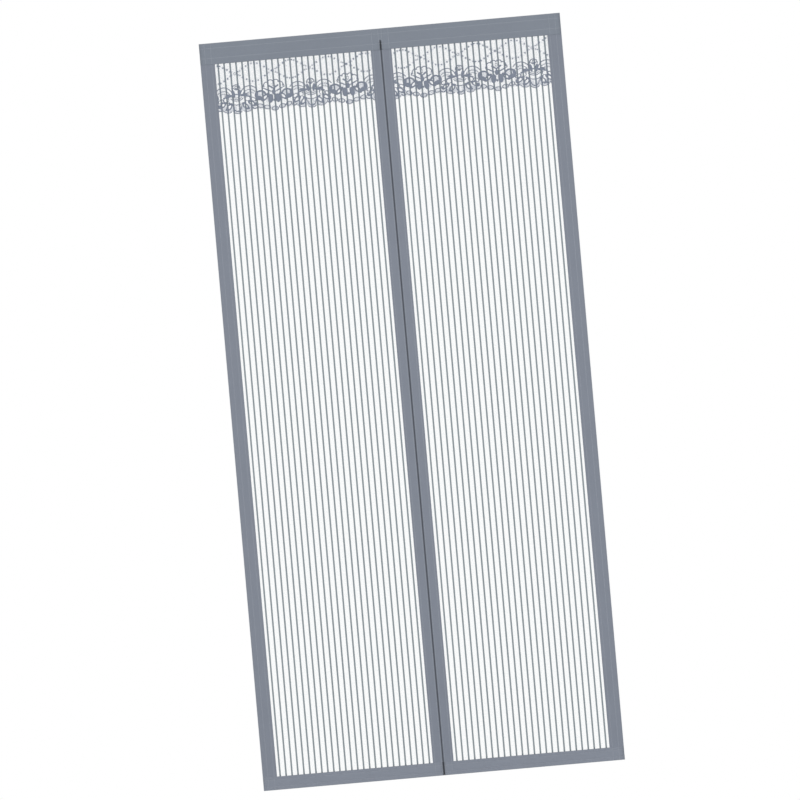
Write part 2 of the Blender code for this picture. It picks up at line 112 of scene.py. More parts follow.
# %% [markdown]
# Studio pictures of cloth are made in a white tent: most of the light comes from everywhere, and
# soft lamps far off to the sides let the folds and seams show. The world is that tent. The camera
# sees it pure white, and it lights the cloth with two thirds of that, which leaves the lamps the rest.

# %% World and colour
TENT_LIGHT = 0.64

scene = bpy.context.scene
scene.view_settings.view_transform = "Standard"
scene.view_settings.look = "None"
world = bpy.data.worlds.new("white_tent")
scene.world = world
world.use_nodes = True
tent = world.node_tree
tent.nodes.clear()
seen = tent.nodes.new("ShaderNodeBackground")
lit = tent.nodes.new("ShaderNodeBackground")
lit.inputs["Strength"].default_value = TENT_LIGHT
for background in (seen, lit):
    background.inputs["Color"].default_value = (1.0, 1.0, 1.0, 1.0)
path = tent.nodes.new("ShaderNodeLightPath")
choose = tent.nodes.new("ShaderNodeMixShader")
out = tent.nodes.new("ShaderNodeOutputWorld")
tent.links.new(path.outputs["Is Camera Ray"], choose.inputs["Fac"])
tent.links.new(lit.outputs[0], choose.inputs[1])
tent.links.new(seen.outputs[0], choose.inputs[2])
tent.links.new(choose.outputs[0], out.inputs["Surface"])
print("the tent lights the cloth at", TENT_LIGHT)

# %% [markdown]
# The key lamp stands high on the left, the fill lamp level on the right, and a third lights the back.
# The floor is well out of the picture, and gives a little light back from below.

# %% Lamps and floor
KEY_STRENGTH = 0.69
FILL_STRENGTH = 0.52
BACK_STRENGTH = 0.75
SOFTNESS = math.radians(24.0)
FLOOR_DROP = 0.05
FLOOR_SIZE = 14.0
FLOOR_COLOUR = (0.86, 0.87, 0.88, 1.0)
FLOOR_ROUGHNESS = 0.9


def soft_lamp(name, place, strength):
    """A lamp so far off that it lights all of the screen alike, from the side where place is."""
    data = bpy.data.lights.new(name, "SUN")
    data.energy = strength
    data.angle = SOFTNESS
    lamp = new_object(name, data)
    lamp.location = place
    lamp.rotation_euler = (middle - Vector(place)).to_track_quat("-Z", "Y").to_euler()


soft_lamp("key_lamp", (-4.2, -6.0, 4.0), KEY_STRENGTH)
soft_lamp("fill_lamp", (4.6, -5.6, -0.9), FILL_STRENGTH)
soft_lamp("back_lamp", (1.8, 3.4, 0.8), BACK_STRENGTH)

bm = bmesh.new()
bmesh.ops.create_grid(bm, x_segments=1, y_segments=1, size=FLOOR_SIZE / 2)
bmesh.ops.translate(bm, verts=bm.verts, vec=(0.0, 0.0, cad_box[0].z - FLOOR_DROP))
floor_mesh = bpy.data.meshes.new("floor")
bm.to_mesh(floor_mesh)
bm.free()
floor = new_object("floor", floor_mesh)
paint = bpy.data.materials.new("pale_floor")
paint.use_nodes = True
shader = paint.node_tree.nodes["Principled BSDF"]
shader.inputs["Base Color"].default_value = FLOOR_COLOUR
shader.inputs["Roughness"].default_value = FLOOR_ROUGHNESS
floor_mesh.materials.append(paint)
print("lamps:", [lamp.name for lamp in bpy.data.lights])

# %% [markdown]
# ## Cloth finishes
# All of the cloth is polyester dyed one blue grey. What sets the pieces apart is how the yarn lies:
# a plain weave in the tapes, ribs in the stripes, fine open mesh in the net, raised satin in the
# lace. The weave, the dye, the puckers and the open mesh are node groups, so that every finish can
# use them at its own scale.

# %% Small helpers for trees of nodes
def linear(level):
    """The amount of light that a screen shows for a value of 0 to 255, by the sRGB curve."""
    return ((level / 255 + 0.055) / 1.055) ** 2.4 if level > 10 else level / 3295


def display(red, green, blue):
    """The colour that shows as these 0 to 255 values on a screen."""
    return (linear(red), linear(green), linear(blue), 1.0)


def feed(tree, socket, value):
    if isinstance(value, bpy.types.NodeSocket):
        tree.links.new(value, socket)
    else:
        socket.default_value = value


def maths(tree, operation, *values):
    step = tree.nodes.new("ShaderNodeMath")
    step.operation = operation
    for socket, value in zip(step.inputs, values):
        feed(tree, socket, value)
    return step.outputs[0]


def times(tree, first, second):
    return maths(tree, "MULTIPLY", first, second)


def plus(tree, first, second):
    return maths(tree, "ADD", first, second)


def sine(tree, value, period):
    """A wave from -1 to 1 along value, which comes back after each period."""
    return maths(tree, "SINE", times(tree, value, math.tau / period))


def split(tree, vector):
    parts = tree.nodes.new("ShaderNodeSeparateXYZ")
    tree.links.new(vector, parts.inputs[0])
    return parts.outputs


def noise_value(tree, vector, scale, stretch=(1.0, 1.0, 1.0), detail=3.0):
    """Soft noise from 0 to 1, stretched along an axis where stretch is small."""
    mapping = tree.nodes.new("ShaderNodeMapping")
    mapping.inputs["Scale"].default_value = [scale * s for s in stretch]
    tree.links.new(vector, mapping.inputs["Vector"])
    texture = tree.nodes.new("ShaderNodeTexNoise")
    texture.inputs["Scale"].default_value = 1.0
    texture.inputs["Detail"].default_value = detail
    tree.links.new(mapping.outputs[0], texture.inputs["Vector"])
    return texture.outputs["Fac"]


def two_colours(tree, factor, first, second):
    mix = tree.nodes.new("ShaderNodeMix")
    mix.data_type = "RGBA"
    feed(tree, mix.inputs[0], factor)
    feed(tree, mix.inputs[6], first)
    feed(tree, mix.inputs[7], second)
    return mix.outputs[2]


def new_group(name, sizes, result):
    """An empty shader node group that turns a place and some sizes into one number."""
    group = bpy.data.node_groups.new(name, "ShaderNodeTree")
    group.interface.new_socket("Place", in_out="INPUT", socket_type="NodeSocketVector")
    for label in sizes:
        group.interface.new_socket(label, in_out="INPUT", socket_type="NodeSocketFloat")
    group.interface.new_socket(result, in_out="OUTPUT", socket_type="NodeSocketFloat")
    given = group.nodes.new("NodeGroupInput").outputs
    return group, given, group.nodes.new("NodeGroupOutput").inputs[result]


def use_group(tree, group, **values):
    made = tree.nodes.new("ShaderNodeGroup")
    made.node_tree = group
    for label, value in values.items():
        feed(tree, made.inputs[label], value)
    return made.outputs[0]


# %% [markdown]
# A plain weave is two sets of yarns that take turns on top. A sine across each set gives round
# yarns, and the sign of their product says which set is on top at a point.

# %% Group: plain weave
weave, given, result = new_group("plain_weave", ["Pitch"], "Height")
x, y, _ = split(weave, given["Place"])
waves = []
for value in (x, y):
    yarns = maths(weave, "DIVIDE", value, given["Pitch"])
    waves.append(maths(weave, "SINE", times(weave, yarns, math.pi)))
warp_on_top = maths(weave, "GREATER_THAN", times(weave, *waves), 0.0)
warp, weft = [maths(weave, "ABSOLUTE", wave) for wave in waves]
weft_on_top = maths(weave, "SUBTRACT", 1.0, warp_on_top)
height = plus(weave, times(weave, warp, warp_on_top), times(weave, weft, weft_on_top))
weave.links.new(height, result)

# %% [markdown]
# Dyed cloth is never quite even. Broad noise stands for the dye, and noise drawn out along the
# yarns for the thicker and thinner stretches of each yarn.

# %% Group: uneven dye
ALONG_YARNS = (1.0, 0.02, 1.0)

dye, given, result = new_group("uneven_dye", [], "Shade")
broad = noise_value(dye, given["Place"], 9.0)
yarns = noise_value(dye, given["Place"], 900.0, ALONG_YARNS, 1.0)
grain = noise_value(dye, given["Place"], 2400.0, detail=1.0)
total = plus(dye, times(dye, broad, 0.5), times(dye, yarns, 0.3))
total = plus(dye, total, times(dye, grain, 0.2))
dye.links.new(total, result)

# %% [markdown]
# A sewn row pulls the cloth in, most at each needle hole. U of the cloth's map is the distance from
# the fold, so one group draws the dents of a row on both plies of a folded tape.

# %% Group: puckers along a sewn row
PUCKER_BEAT = 0.35

pucker, given, result = new_group("sewn_puckers", ["Row", "Pitch", "Spread"], "Dent")
u, v, _ = split(pucker, given["Place"])
away = maths(pucker, "SUBTRACT", maths(pucker, "ABSOLUTE", u), given["Row"])
away = maths(pucker, "DIVIDE", away, given["Spread"])
fall = maths(pucker, "EXPONENT", times(pucker, times(pucker, away, away), -1.0))
turns = times(pucker, maths(pucker, "DIVIDE", v, given["Pitch"]), math.tau)
beat = maths(pucker, "MULTIPLY_ADD", maths(pucker, "COSINE", turns), PUCKER_BEAT, 1.0 - PUCKER_BEAT)
pucker.links.new(times(pucker, fall, beat), result)

# %% [markdown]
# Insect net is an open mesh of very thin yarn. Each yarn as a solid would take millions of faces, so
# the net is one sheet whose alpha is 1 on a yarn and 0 in a hole. Every other column of holes is
# moved by half a hole, as in a knitted net.

# %% Group: open mesh
mesh_holes, given, result = new_group("open_mesh", ["Pitch", "Yarn"], "Cover")
u, v, _ = split(mesh_holes, given["Place"])
column = maths(mesh_holes, "DIVIDE", u, given["Pitch"])
odd = maths(mesh_holes, "FLOORED_MODULO", maths(mesh_holes, "FLOOR", column), 2.0)
row = maths(mesh_holes, "DIVIDE", v, given["Pitch"])
line = plus(mesh_holes, row, times(mesh_holes, odd, 0.5))
share = maths(mesh_holes, "DIVIDE", given["Yarn"], given["Pitch"])
upright_yarn = maths(mesh_holes, "LESS_THAN", maths(mesh_holes, "FRACT", column), share)
level_yarn = maths(mesh_holes, "LESS_THAN", maths(mesh_holes, "FRACT", line), share)
mesh_holes.links.new(maths(mesh_holes, "MAXIMUM", upright_yarn, level_yarn), result)
print("groups:", [group.name for group in bpy.data.node_groups])

# %% [markdown]
# Every finish starts from the same shader. Cloth has a weak reflection and a little sheen, which is
# the pale rim of its loose fibres. A finish then adds its own colour, pattern and relief.

# %% Helpers for finishes
SHEEN = 0.12
SPECULAR = 0.3


def new_finish(name, colour, roughness, sheen=SHEEN):
    finish = bpy.data.materials.new(name)
    finish.use_nodes = True
    shader = finish.node_tree.nodes["Principled BSDF"]
    for socket, value in (("Base Color", colour), ("Roughness", roughness), ("Sheen Weight", sheen),
                          ("Specular IOR Level", SPECULAR)):
        shader.inputs[socket].default_value = value
    return finish, finish.node_tree, shader


def map_of(tree, kind):
    return tree.nodes.new("ShaderNodeTexCoord").outputs[kind]


def bump(tree, shader, height):
    """Gives the surface a relief whose height is in metres."""
    made = tree.nodes.new("ShaderNodeBump")
    made.inputs["Strength"].default_value = 1.0
    made.inputs["Distance"].default_value = 1.0
    tree.links.new(height, made.inputs["Height"])
    tree.links.new(made.outputs[0], shader.inputs["Normal"])


def scaled(colour, share):
    return (*[channel * share for channel in colour[:3]], 1.0)


def tinted(tree, colour, factor, low, high):
    """colour, made darker or lighter by a factor from 0 to 1."""
    return two_colours(tree, factor, scaled(colour, low), scaled(colour, high))


# %% [markdown]
# ### Tape cloth
# The tapes are a close plain weave, half a millimetre to a yarn. The weave bumps the cloth, and it also
# paints shade into the colour in the gaps between yarns and light on their crowns. The rows of each tape
# dent it, and the colour is painted lighter along each row. The dents could be modelled, but there are
# thousands, and each is shorter than a face of the tape.

# %% Finish: tape cloth
TAPE_GREY = display(133, 139, 151)
HEADER_GREY = display(132, 139, 150)
# The hems are the same cloth as the other tapes, painted lighter to make up for the weaker light near the
# floor: painted light.
HEM_PAINTED_LIGHTER_GREY = display(138, 144, 156)
YARN_PITCH = 0.5 * MM
STITCH_PITCH = 3.2 * MM
WEAVE_DEPTH = 0.10 * MM
PUCKER_SPREAD = 2.2 * MM
WEAVE_PAINTED_SHADING = 0.35
ROW_DENT = 0.25 * MM
ROW_PAINTED_LIGHT = 0.16
PAINTED_SHADE_WIDTH = 3.9 * MM
DEEPEST_PAINTED_SHADE = 0.04


def tape_finish(name, colour, rows, from_painted_shade=None):
    """Cloth of a folded tape with sewn rows at these distances from its fold.

    If it is given, the last argument makes the nodes that say how far a point of the cloth lies from
    the darkest place of a shade that is painted into its colour.
    """
    finish, tree, shader = new_finish(name, colour, 0.86)
    cloth = map_of(tree, "UV")
    height = use_group(tree, weave, Place=cloth, Pitch=YARN_PITCH)
    shade = use_group(tree, dye, Place=cloth)
    # Painted shade and light: the weave darkens the colour in the gaps between yarns and lightens it on
    # their crowns.
    factor = plus(tree, times(tree, height, WEAVE_PAINTED_SHADING), times(tree, shade, 1.0 - WEAVE_PAINTED_SHADING))
    relief = times(tree, height, WEAVE_DEPTH)
    for row in rows:
        dent = use_group(tree, pucker, Place=cloth, Row=row, Pitch=STITCH_PITCH, Spread=PUCKER_SPREAD)
        relief = maths(tree, "SUBTRACT", relief, times(tree, dent, ROW_DENT))
        # Painted light: the colour is made lighter along each sewn row, over its puckers.
        factor = plus(tree, factor, times(tree, dent, ROW_PAINTED_LIGHT))
    tint = tinted(tree, colour, factor, 0.86, 1.14)
    # Painted shade: near a meeting fold, a cut or an end, the colour darkens to a small share of itself.
    if from_painted_shade:
        u, v, _ = split(tree, cloth)
        clear = maths(tree, "DIVIDE", from_painted_shade(tree, u, v), PAINTED_SHADE_WIDTH)
        clear = maths(tree, "SMOOTH_MIN", clear, 1.0, 0.2)
        tint = two_colours(tree, clear, scaled(colour, DEEPEST_PAINTED_SHADE), tint)
    tree.links.new(tint, shader.inputs["Base Color"])
    bump(tree, shader, relief)
    return finish


# %% [markdown]
# ### Open cloth
# The net keeps insects out and lets air through. The tulle is the ground that the lace is worked on,
# and is closer where the work is dense. Both could be a flat colour that is partly clear, but that
# looks like film, so both use the open mesh. The net's yarn is the same everywhere, and the tulle's
# grows wider where an attribute on its points says so.

# %% Finish: net and tulle
NET_PITCH = 1.5 * MM
NET_YARN = 0.05 * MM
TULLE_PITCH = 1.2 * MM
TULLE_YARN = 0.075 * MM
TULLE_FILL = 0.42 * MM


def net_yarn(tree):
    return NET_YARN


def tulle_yarn(tree):
    close = tree.nodes.new("ShaderNodeAttribute")
    close.attribute_name = "closeness"
    return maths(tree, "MULTIPLY_ADD", close.outputs["Fac"], TULLE_FILL - TULLE_YARN, TULLE_YARN)


def open_finish(name, colour, roughness, pitch, yarn):
    finish, tree, shader = new_finish(name, colour, roughness)
    cloth = map_of(tree, "UV")
    cover = use_group(tree, mesh_holes, Place=cloth, Pitch=pitch, Yarn=yarn(tree))
    tree.links.new(cover, shader.inputs["Alpha"])
    shade = use_group(tree, dye, Place=cloth)
    tree.links.new(tinted(tree, colour, shade, 0.9, 1.1), shader.inputs["Base Color"])
    return finish


NET = open_finish("fine_net", display(170, 198, 206), 0.6, NET_PITCH, net_yarn)
TULLE = open_finish("lace_tulle", display(142, 152, 171), 0.7, TULLE_PITCH, tulle_yarn)

# %% [markdown]
# ### Patterned cloth
# Four finishes are a fine pattern on coloured yarn. The stripes are knitted, so they are ribbed both
# ways. Satin stitch is floss in close, slanted strands. Sewing thread is twisted. Hook tape is a field
# of hooks too small to model one by one. Pictures could show these patterns, but waves need no file
# and stay sharp from close by. They are laid out in the screen's own metres, because these pieces
# don't turn round an edge as the tapes do.

# %% Finish: stripes, satin, thread and hooks
WALE_PITCH = 0.84 * MM
RIB_PITCH = 1.1 * MM
STRAND_PITCH = 0.55 * MM
STRAND_SLANT = 0.35
TWIST_PITCH = 0.4 * MM
HOOK_PITCH = 1.3 * MM


def ribbed(tree, x, z):
    wales = times(tree, sine(tree, x, WALE_PITCH), 0.6)
    return plus(tree, wales, times(tree, sine(tree, z, RIB_PITCH), 0.4))


def stranded(tree, x, z):
    return sine(tree, maths(tree, "MULTIPLY_ADD", z, STRAND_SLANT, x), STRAND_PITCH)


def twisted(tree, x, z):
    return sine(tree, plus(tree, x, z), TWIST_PITCH)


def hooked(tree, x, z):
    waves = times(tree, sine(tree, x, HOOK_PITCH), sine(tree, z, HOOK_PITCH))
    return maths(tree, "MAXIMUM", waves, 0.0)


def patterned(name, colour, roughness, pattern, relief, tint, dyed, even, contrast, sheen=SHEEN):
    """relief is how high the pattern stands. tint, dyed and even say how much of the colour's factor
    comes from the pattern, from the dye and from neither, and contrast how far it takes the colour."""
    finish, tree, shader = new_finish(name, colour, roughness, sheen)
    place = map_of(tree, "Object")
    x, _, z = split(tree, place)
    value = pattern(tree, x, z)
    shade = use_group(tree, dye, Place=place)
    ground = maths(tree, "MULTIPLY_ADD", shade, dyed, even)
    # Painted light and shade: the pattern's value, which also sets the relief, lightens the colour on the
    # ridges and hooks and darkens it in the grooves between them.
    factor = maths(tree, "MULTIPLY_ADD", value, tint, ground)
    tree.links.new(tinted(tree, colour, factor, *contrast), shader.inputs["Base Color"])
    bump(tree, shader, times(tree, value, relief))
    return finish


STRIPE = patterned("stripe_cloth", display(143, 153, 158), 0.84, ribbed, relief=0.07 * MM,
                   tint=0.25, dyed=1.0, even=0.0, contrast=(0.84, 1.16))
SATIN = patterned("lace_satin", display(135, 143, 159), 0.7, stranded, relief=0.08 * MM,
                  tint=0.22, dyed=1.0, even=0.0, contrast=(0.82, 1.18), sheen=0.2)
THREAD = patterned("sewing_thread", display(176, 182, 190), 0.55, twisted, relief=0.05 * MM,
                   tint=0.5, dyed=0.0, even=0.5, contrast=(0.88, 1.1))
HOOK = patterned("hook_tape", display(118, 124, 133), 0.6, hooked, relief=0.5 * MM,
                 tint=0.5, dyed=0.5, even=0.0, contrast=(0.75, 1.25))
print("finishes:", [finish.name for finish in (NET, TULLE, STRIPE, SATIN, THREAD, HOOK)])

# %% [markdown]
# ## How the cloth hangs
# The door frame, the magnets and the weights keep the tapes straight, so they only ripple a little.
# The net is free between them and billows by a few millimetres. A cloth simulation could find such a
# shape, but it is slow and could push the layers through one another. Here one function gives the
# move for any point, and every piece of cloth uses it, so stitches stay on their tape and lace stays
# in front of its net.

# %% The way the cloth moves off its plane
RIPPLE = 0.12 * MM
BILLOW = 2.6 * MM
BILLOW_RUN = 0.20
RIPPLES = (22.0, 16.0)
SWELLS = (3.0, 2.2)
SWELL_SHIFT = 5.0
LEAST_SWELL = 0.35
NET_BOX, SIDE_BOX, CENTRE_BOX, HEM_BOX, LACE_BOX = (
    {side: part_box(f"{kind}_{side}") for side, _ in SIDES}
    for kind in ("net", "side_tape", "centre_tape", "hem", "lace"))
HEADER_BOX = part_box("header_tape")
OPEN_FROM = CENTRE_BOX["right"][1].x
OPEN_TO = SIDE_BOX["right"][0].x
OPEN_TOP = HEADER_BOX[0].z
OPEN_BOTTOM = HEM_BOX["right"][1].z


def eased(value):
    value = min(max(value, 0.0), 1.0)
    return value * value * (3.0 - 2.0 * value)


def sway(x, z):
    """How far the cloth lies off its plane at this place, towards the back where positive."""
    ripple = RIPPLE * noise.noise(Vector((x * RIPPLES[0], 0.0, z * RIPPLES[1])))
    part = (abs(x) - OPEN_FROM) / (OPEN_TO - OPEN_FROM)
    if not 0.0 < part < 1.0:
        return ripple
    ends = eased((OPEN_TOP - z) / BILLOW_RUN) * eased((z - OPEN_BOTTOM) / BILLOW_RUN)
    swell = LEAST_SWELL + noise.noise(Vector((x * SWELLS[0] + SWELL_SHIFT, 2.0, z * SWELLS[1])))
    return ripple + BILLOW * ends * math.sin(math.pi * part) ** 2 * swell


print("each opening is", round((OPEN_TO - OPEN_FROM) / MM, 1), "mm wide")

# %% [markdown]
# Each piece is built as a bmesh, in its own place, and only becomes an object at the end. So the
# object itself stays at the origin, unturned and unscaled, and the patterns laid out in its metres
# stay where they are.

# %% Helpers that turn a bmesh into a finished piece
def to_mesh(bm, name):
    mesh = bpy.data.meshes.new(name)
    bm.to_mesh(mesh)
    bm.free()
    return mesh


def new_piece(name, bm, finish, nodes=()):
    """A shown piece that hangs with the cloth, with its finish, body and the solids it stands for."""
    mesh = to_mesh(bm, name)
    for vertex in mesh.vertices:
        vertex.co.y += sway(vertex.co.x, vertex.co.z)
    mesh.materials.append(finish)
    mesh.shade_smooth()
    piece = new_object(name, mesh)
    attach(piece, "root")
    if nodes:
        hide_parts(*nodes)
    print(name, len(mesh.vertices), "points")
    return piece


# %% [markdown]
# ## Folded tapes
# A binding tape is a long strip folded along its middle over the edge of the net. A box with a
# groove would have no fold, and its yarns would not turn the corner. So the strip is cut flat, as a
# grid whose UV map holds its real size, and each point then goes where the fold takes it. Solidify
# gives the cloth its thickness last.

# %% Cut a strip of cloth
CLOTH = 0.4 * MM
HAIR = 1e-6


def steps_in(size, step):
    """How many steps make up size, made even so that a row of points lies on the middle line."""
    return 2 * round(size / step / 2)


def cut_cloth(width, length, across_step, along_step, turn=0.0):
    """A flat strip in XY, finer within turn of its middle. Its map holds metres: U across, V along."""
    bm = bmesh.new()
    columns = steps_in(width, across_step)
    rows = steps_in(length, along_step)
    bmesh.ops.create_grid(bm, x_segments=columns, y_segments=rows, size=0.5)
    bmesh.ops.scale(bm, verts=bm.verts, vec=(width, length, 1.0))
    bent = [edge for edge in bm.edges
            if abs(edge.verts[0].co.y - edge.verts[1].co.y) < HAIR
            and min(abs(vertex.co.x) for vertex in edge.verts) < turn]
    bmesh.ops.subdivide_edges(bm, edges=bent, cuts=2, use_grid_fill=True)
    cloth = bm.loops.layers.uv.new("cloth")
    for face in bm.faces:
        for loop in face.loops:
            loop[cloth].uv = loop.vert.co.xy
    return bm


# %% [markdown]
# What lies within a quarter turn of the strip's middle, on either side, goes round the fold. The rest
# lies flat, as a front ply and a back ply. Both are drawn in where they are sewn, and at their edges.

# %% Fold a strip over the edge of the net
ROW_PULL = 0.30 * MM
EDGE_PULL = 0.40 * MM
EDGE_RUN = 7.0 * MM
ROW_REACH = 2.4 * MM
SINK = 0.05 * MM


class Tape:
    """A folded tape: its cut, its fold, its sewn rows, and where its surface lies."""

    def __init__(self, box, rows, width, length):
        self.rows = rows
        self.width = width
        self.length = length
        self.radius = (box[1].y - box[0].y - CLOTH) / 2
        self.depth = (box[0].y + box[1].y) / 2
        self.turn = self.radius * math.pi / 2
        self.flat = 2 * (width - CLOTH / 2 - self.radius + self.turn)

    def pull(self, inward):
        """How far a ply is drawn in at this distance from the fold."""
        rows = sum(math.exp(-(((inward - row) / ROW_REACH) ** 2)) for row in self.rows)
        return ROW_PULL * rows + EDGE_PULL * eased(1.0 - (self.width - inward) / EDGE_RUN)

    def folded(self, strip):
        """(distance in from the fold, depth) for a point this far across the flat strip."""
        if abs(strip) < self.turn:
            angle = strip / self.radius
            inward = CLOTH / 2 + self.radius * (1.0 - math.cos(angle))
            return inward, self.depth + self.radius * math.sin(angle)
        side = math.copysign(1.0, strip)
        inward = CLOTH / 2 + self.radius + abs(strip) - self.turn
        return inward, self.depth + side * (self.radius - self.pull(inward))

    def thread_depths(self, inward):
        """The depths at which thread lies on its front and on its back."""
        half = self.radius + CLOTH / 2 - self.pull(inward) - SINK
        return self.depth - half, self.depth + half

    def piece(self, name, bm, finish, node, rests_on):
        """The shown piece, from its folded cloth."""
        made = new_piece(name, bm, finish, [node])
        wall = made.modifiers.new("cloth", "SOLIDIFY")
        wall.thickness = CLOTH
        wall.offset = 0.0


# %% [markdown]
# The rows are where the needle went: two along each tape. They are given as distances from the fold.

# %% The four kinds of tape
HEADER_ROWS = (14.5 * MM, 42.5 * MM)
SIDE_ROWS = (14.5 * MM, 32.0 * MM)
CENTRE_ROWS = (4.6 * MM, 23.2 * MM)
HEM_ROWS = (9.5 * MM, 28.5 * MM)
SCREEN_WIDTH, _, HEADER_HEIGHT = HEADER_BOX[1] - HEADER_BOX[0]
SIDE_WIDTH, _, TAPE_LENGTH = SIDE_BOX["right"][1] - SIDE_BOX["right"][0]
CENTRE_WIDTH = CENTRE_BOX["right"][1].x - CENTRE_BOX["right"][0].x
HEM_WIDTH, _, HEM_HEIGHT = HEM_BOX["right"][1] - HEM_BOX["right"][0]

header = Tape(HEADER_BOX, HEADER_ROWS, HEADER_HEIGHT, SCREEN_WIDTH)
side_tape = Tape(SIDE_BOX["right"], SIDE_ROWS, SIDE_WIDTH, TAPE_LENGTH)
centre_tape = Tape(CENTRE_BOX["right"], CENTRE_ROWS, CENTRE_WIDTH, TAPE_LENGTH)
hem = Tape(HEM_BOX["right"], HEM_ROWS, HEM_HEIGHT, HEM_WIDTH)
for label, tape in (("header", header), ("side", side_tape), ("centre", centre_tape), ("hem", hem)):
    print(label, "tape is cut", round(tape.flat * 1000, 1), "x", round(tape.length * 1000, 1), "mm")

# %% [markdown]
# ### Side tapes
# These bind the outer edges and carry the hook tape behind them. The fold is the outer edge of the
# screen, and both plies reach in over the net. A swept outline could make the same shape, but a
# folded strip also gives the flat size that a maker would cut.

# %% Sew the side tapes
ACROSS_STEP = 1.7 * MM
ALONG_STEP = 12.0 * MM


def fold_upright(bm, tape, fold_x, towards, middle_z):
    for vertex in bm.verts:
        inward, depth = tape.folded(vertex.co.x)
        vertex.co = (fold_x + towards * inward, depth, middle_z + vertex.co.y)


side_finish = tape_finish("side_tape_cloth", TAPE_GREY, side_tape.rows)
for side, sign in SIDES:
    low, high = SIDE_BOX[side]
    bm = cut_cloth(side_tape.flat, side_tape.length, ACROSS_STEP, ALONG_STEP, side_tape.turn)
    fold_upright(bm, side_tape, high.x if sign > 0 else low.x, -sign, (low.z + high.z) / 2)
    side_tape.piece(f"side_cloth_{side}", bm, side_finish, f"side_tape_{side}", [f"net_{side}"])

# %% [markdown]
# ### Centre tapes
# The two centre tapes lie fold to fold. A row of flat magnets is sewn into each, and the front ply
# rises a little over every magnet. Where the folds meet, the cloth is in deep shade, and the finish
# paints that shade into its colour as a darker edge.

# %% Sew the centre tapes
MAGNET_RISE = 0.30 * MM
MAGNET_EASE = 2.5 * MM
CENTRE_STEP = 6.0 * MM
MAGNET_COUNT = 13
MAGNETS = {side: [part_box(f"magnet_{side}_{number:02d}") for number in range(1, MAGNET_COUNT + 1)]
           for side, _ in SIDES}
MEET = -0.08 * MM


def over_magnet(x, z, boxes):
    """1 over the middle of a magnet, falling to 0 at its edges."""
    inside = (min(x - low.x, high.x - x, z - low.z, high.z - z) for low, high in boxes)
    return eased(max(inside) / MAGNET_EASE)


# How far a point of a centre tape lies from its fold, which sets where its shade is painted.
def from_fold(tree, u, v):
    return maths(tree, "ABSOLUTE", u)


centre_finish = tape_finish("centre_tape_cloth", TAPE_GREY, centre_tape.rows, from_fold)
for side, sign in SIDES:
    low, high = CENTRE_BOX[side]
    bm = cut_cloth(centre_tape.flat, centre_tape.length, ACROSS_STEP, CENTRE_STEP, centre_tape.turn)
    fold_upright(bm, centre_tape, sign * MEET, sign, (low.z + high.z) / 2)
    for vertex in bm.verts:
        sunk = MAGNET_RISE * (1.0 - over_magnet(vertex.co.x, vertex.co.z, MAGNETS[side]))
        vertex.co.y += sunk if vertex.co.y < centre_tape.depth - centre_tape.radius / 2 else 0.0
    centre_tape.piece(f"centre_cloth_{side}", bm, centre_finish, f"centre_tape_{side}", [f"net_{side}"])

# %% [markdown]
# ### Header
# One tape runs across the top, folded over both nets. Its lower part is cut in the middle, so that
# the two halves can part when someone walks through. The cut is made in the flat strip, by splitting
# the edges along it, so that the fold takes it through both plies. Beside the cut, the finish paints
# shade into the colour.

# %% Sew the header
SLIT = 25.0 * MM
SLIT_GAP = 0.6 * MM
slit_from = header.flat / 2 - SLIT


# How far a point of the header lies from the cut, which sets where shade is painted beside it.
def from_slit(tree, u, v):
    above = maths(tree, "SUBTRACT", slit_from, maths(tree, "ABSOLUTE", u))
    return maths(tree, "MAXIMUM", maths(tree, "ABSOLUTE", v), above)


header_finish = tape_finish("header_cloth", HEADER_GREY, header.rows, from_slit)

bm = cut_cloth(header.flat, header.length, ACROSS_STEP, ALONG_STEP, header.turn)
slit = [edge for edge in bm.edges
        if all(abs(vertex.co.y) < HAIR and abs(vertex.co.x) > slit_from for vertex in edge.verts)]
bmesh.ops.split_edges(bm, edges=slit)
for vertex in bm.verts:
    if abs(vertex.co.y) < HAIR and vertex.is_boundary and len(vertex.link_faces) < 4:
        beside = sum(face.calc_center_median().y for face in vertex.link_faces)
        if abs(beside) > ALONG_STEP / 4:
            vertex.co.y += math.copysign(SLIT_GAP / 2, beside)
for vertex in bm.verts:
    inward, depth = header.folded(vertex.co.x)
    vertex.co = (vertex.co.y, depth, HEADER_BOX[1].z - inward)
header.piece("header_cloth", bm, header_finish, "header_tape",
             ["hook_tape_top", "side_cloth_left", "side_cloth_right"])

# %% [markdown]
# ### Hems
# Each panel ends in a folded hem that holds a flat steel weight at its inner end. The two hems meet
# end to end, so each has painted shade in its colour at the end towards the middle. A hem is a tape
# that lies level, and its front ply rises over the weight as a centre tape's does over a magnet.

# %% Sew the hems
# How far a point of a hem lies from its inner end, where its shade is painted.
def from_end(towards):
    def distance(tree, u, v):
        return maths(tree, "MULTIPLY_ADD", v, towards, HEM_WIDTH / 2)
    return distance


for side, sign in SIDES:
    hem_finish = tape_finish(f"hem_cloth_{side}", HEM_PAINTED_LIGHTER_GREY, hem.rows, from_end(sign))
    low, high = HEM_BOX[side]
    bm = cut_cloth(hem.flat, hem.length, ACROSS_STEP, ALONG_STEP, hem.turn)
    weight = [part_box(f"hem_weight_{side}")]
    for vertex in bm.verts:
        inward, depth = hem.folded(vertex.co.x)
        place = Vector(((low.x + high.x) / 2 + vertex.co.y, depth, low.z + inward))
        if depth < hem.depth - hem.radius / 2:
            place.y += MAGNET_RISE * (1.0 - over_magnet(place.x, place.z, weight))
        vertex.co = place
    hem.piece(f"hem_cloth_{side}", bm, hem_finish, f"hem_{side}", [f"net_{side}"])

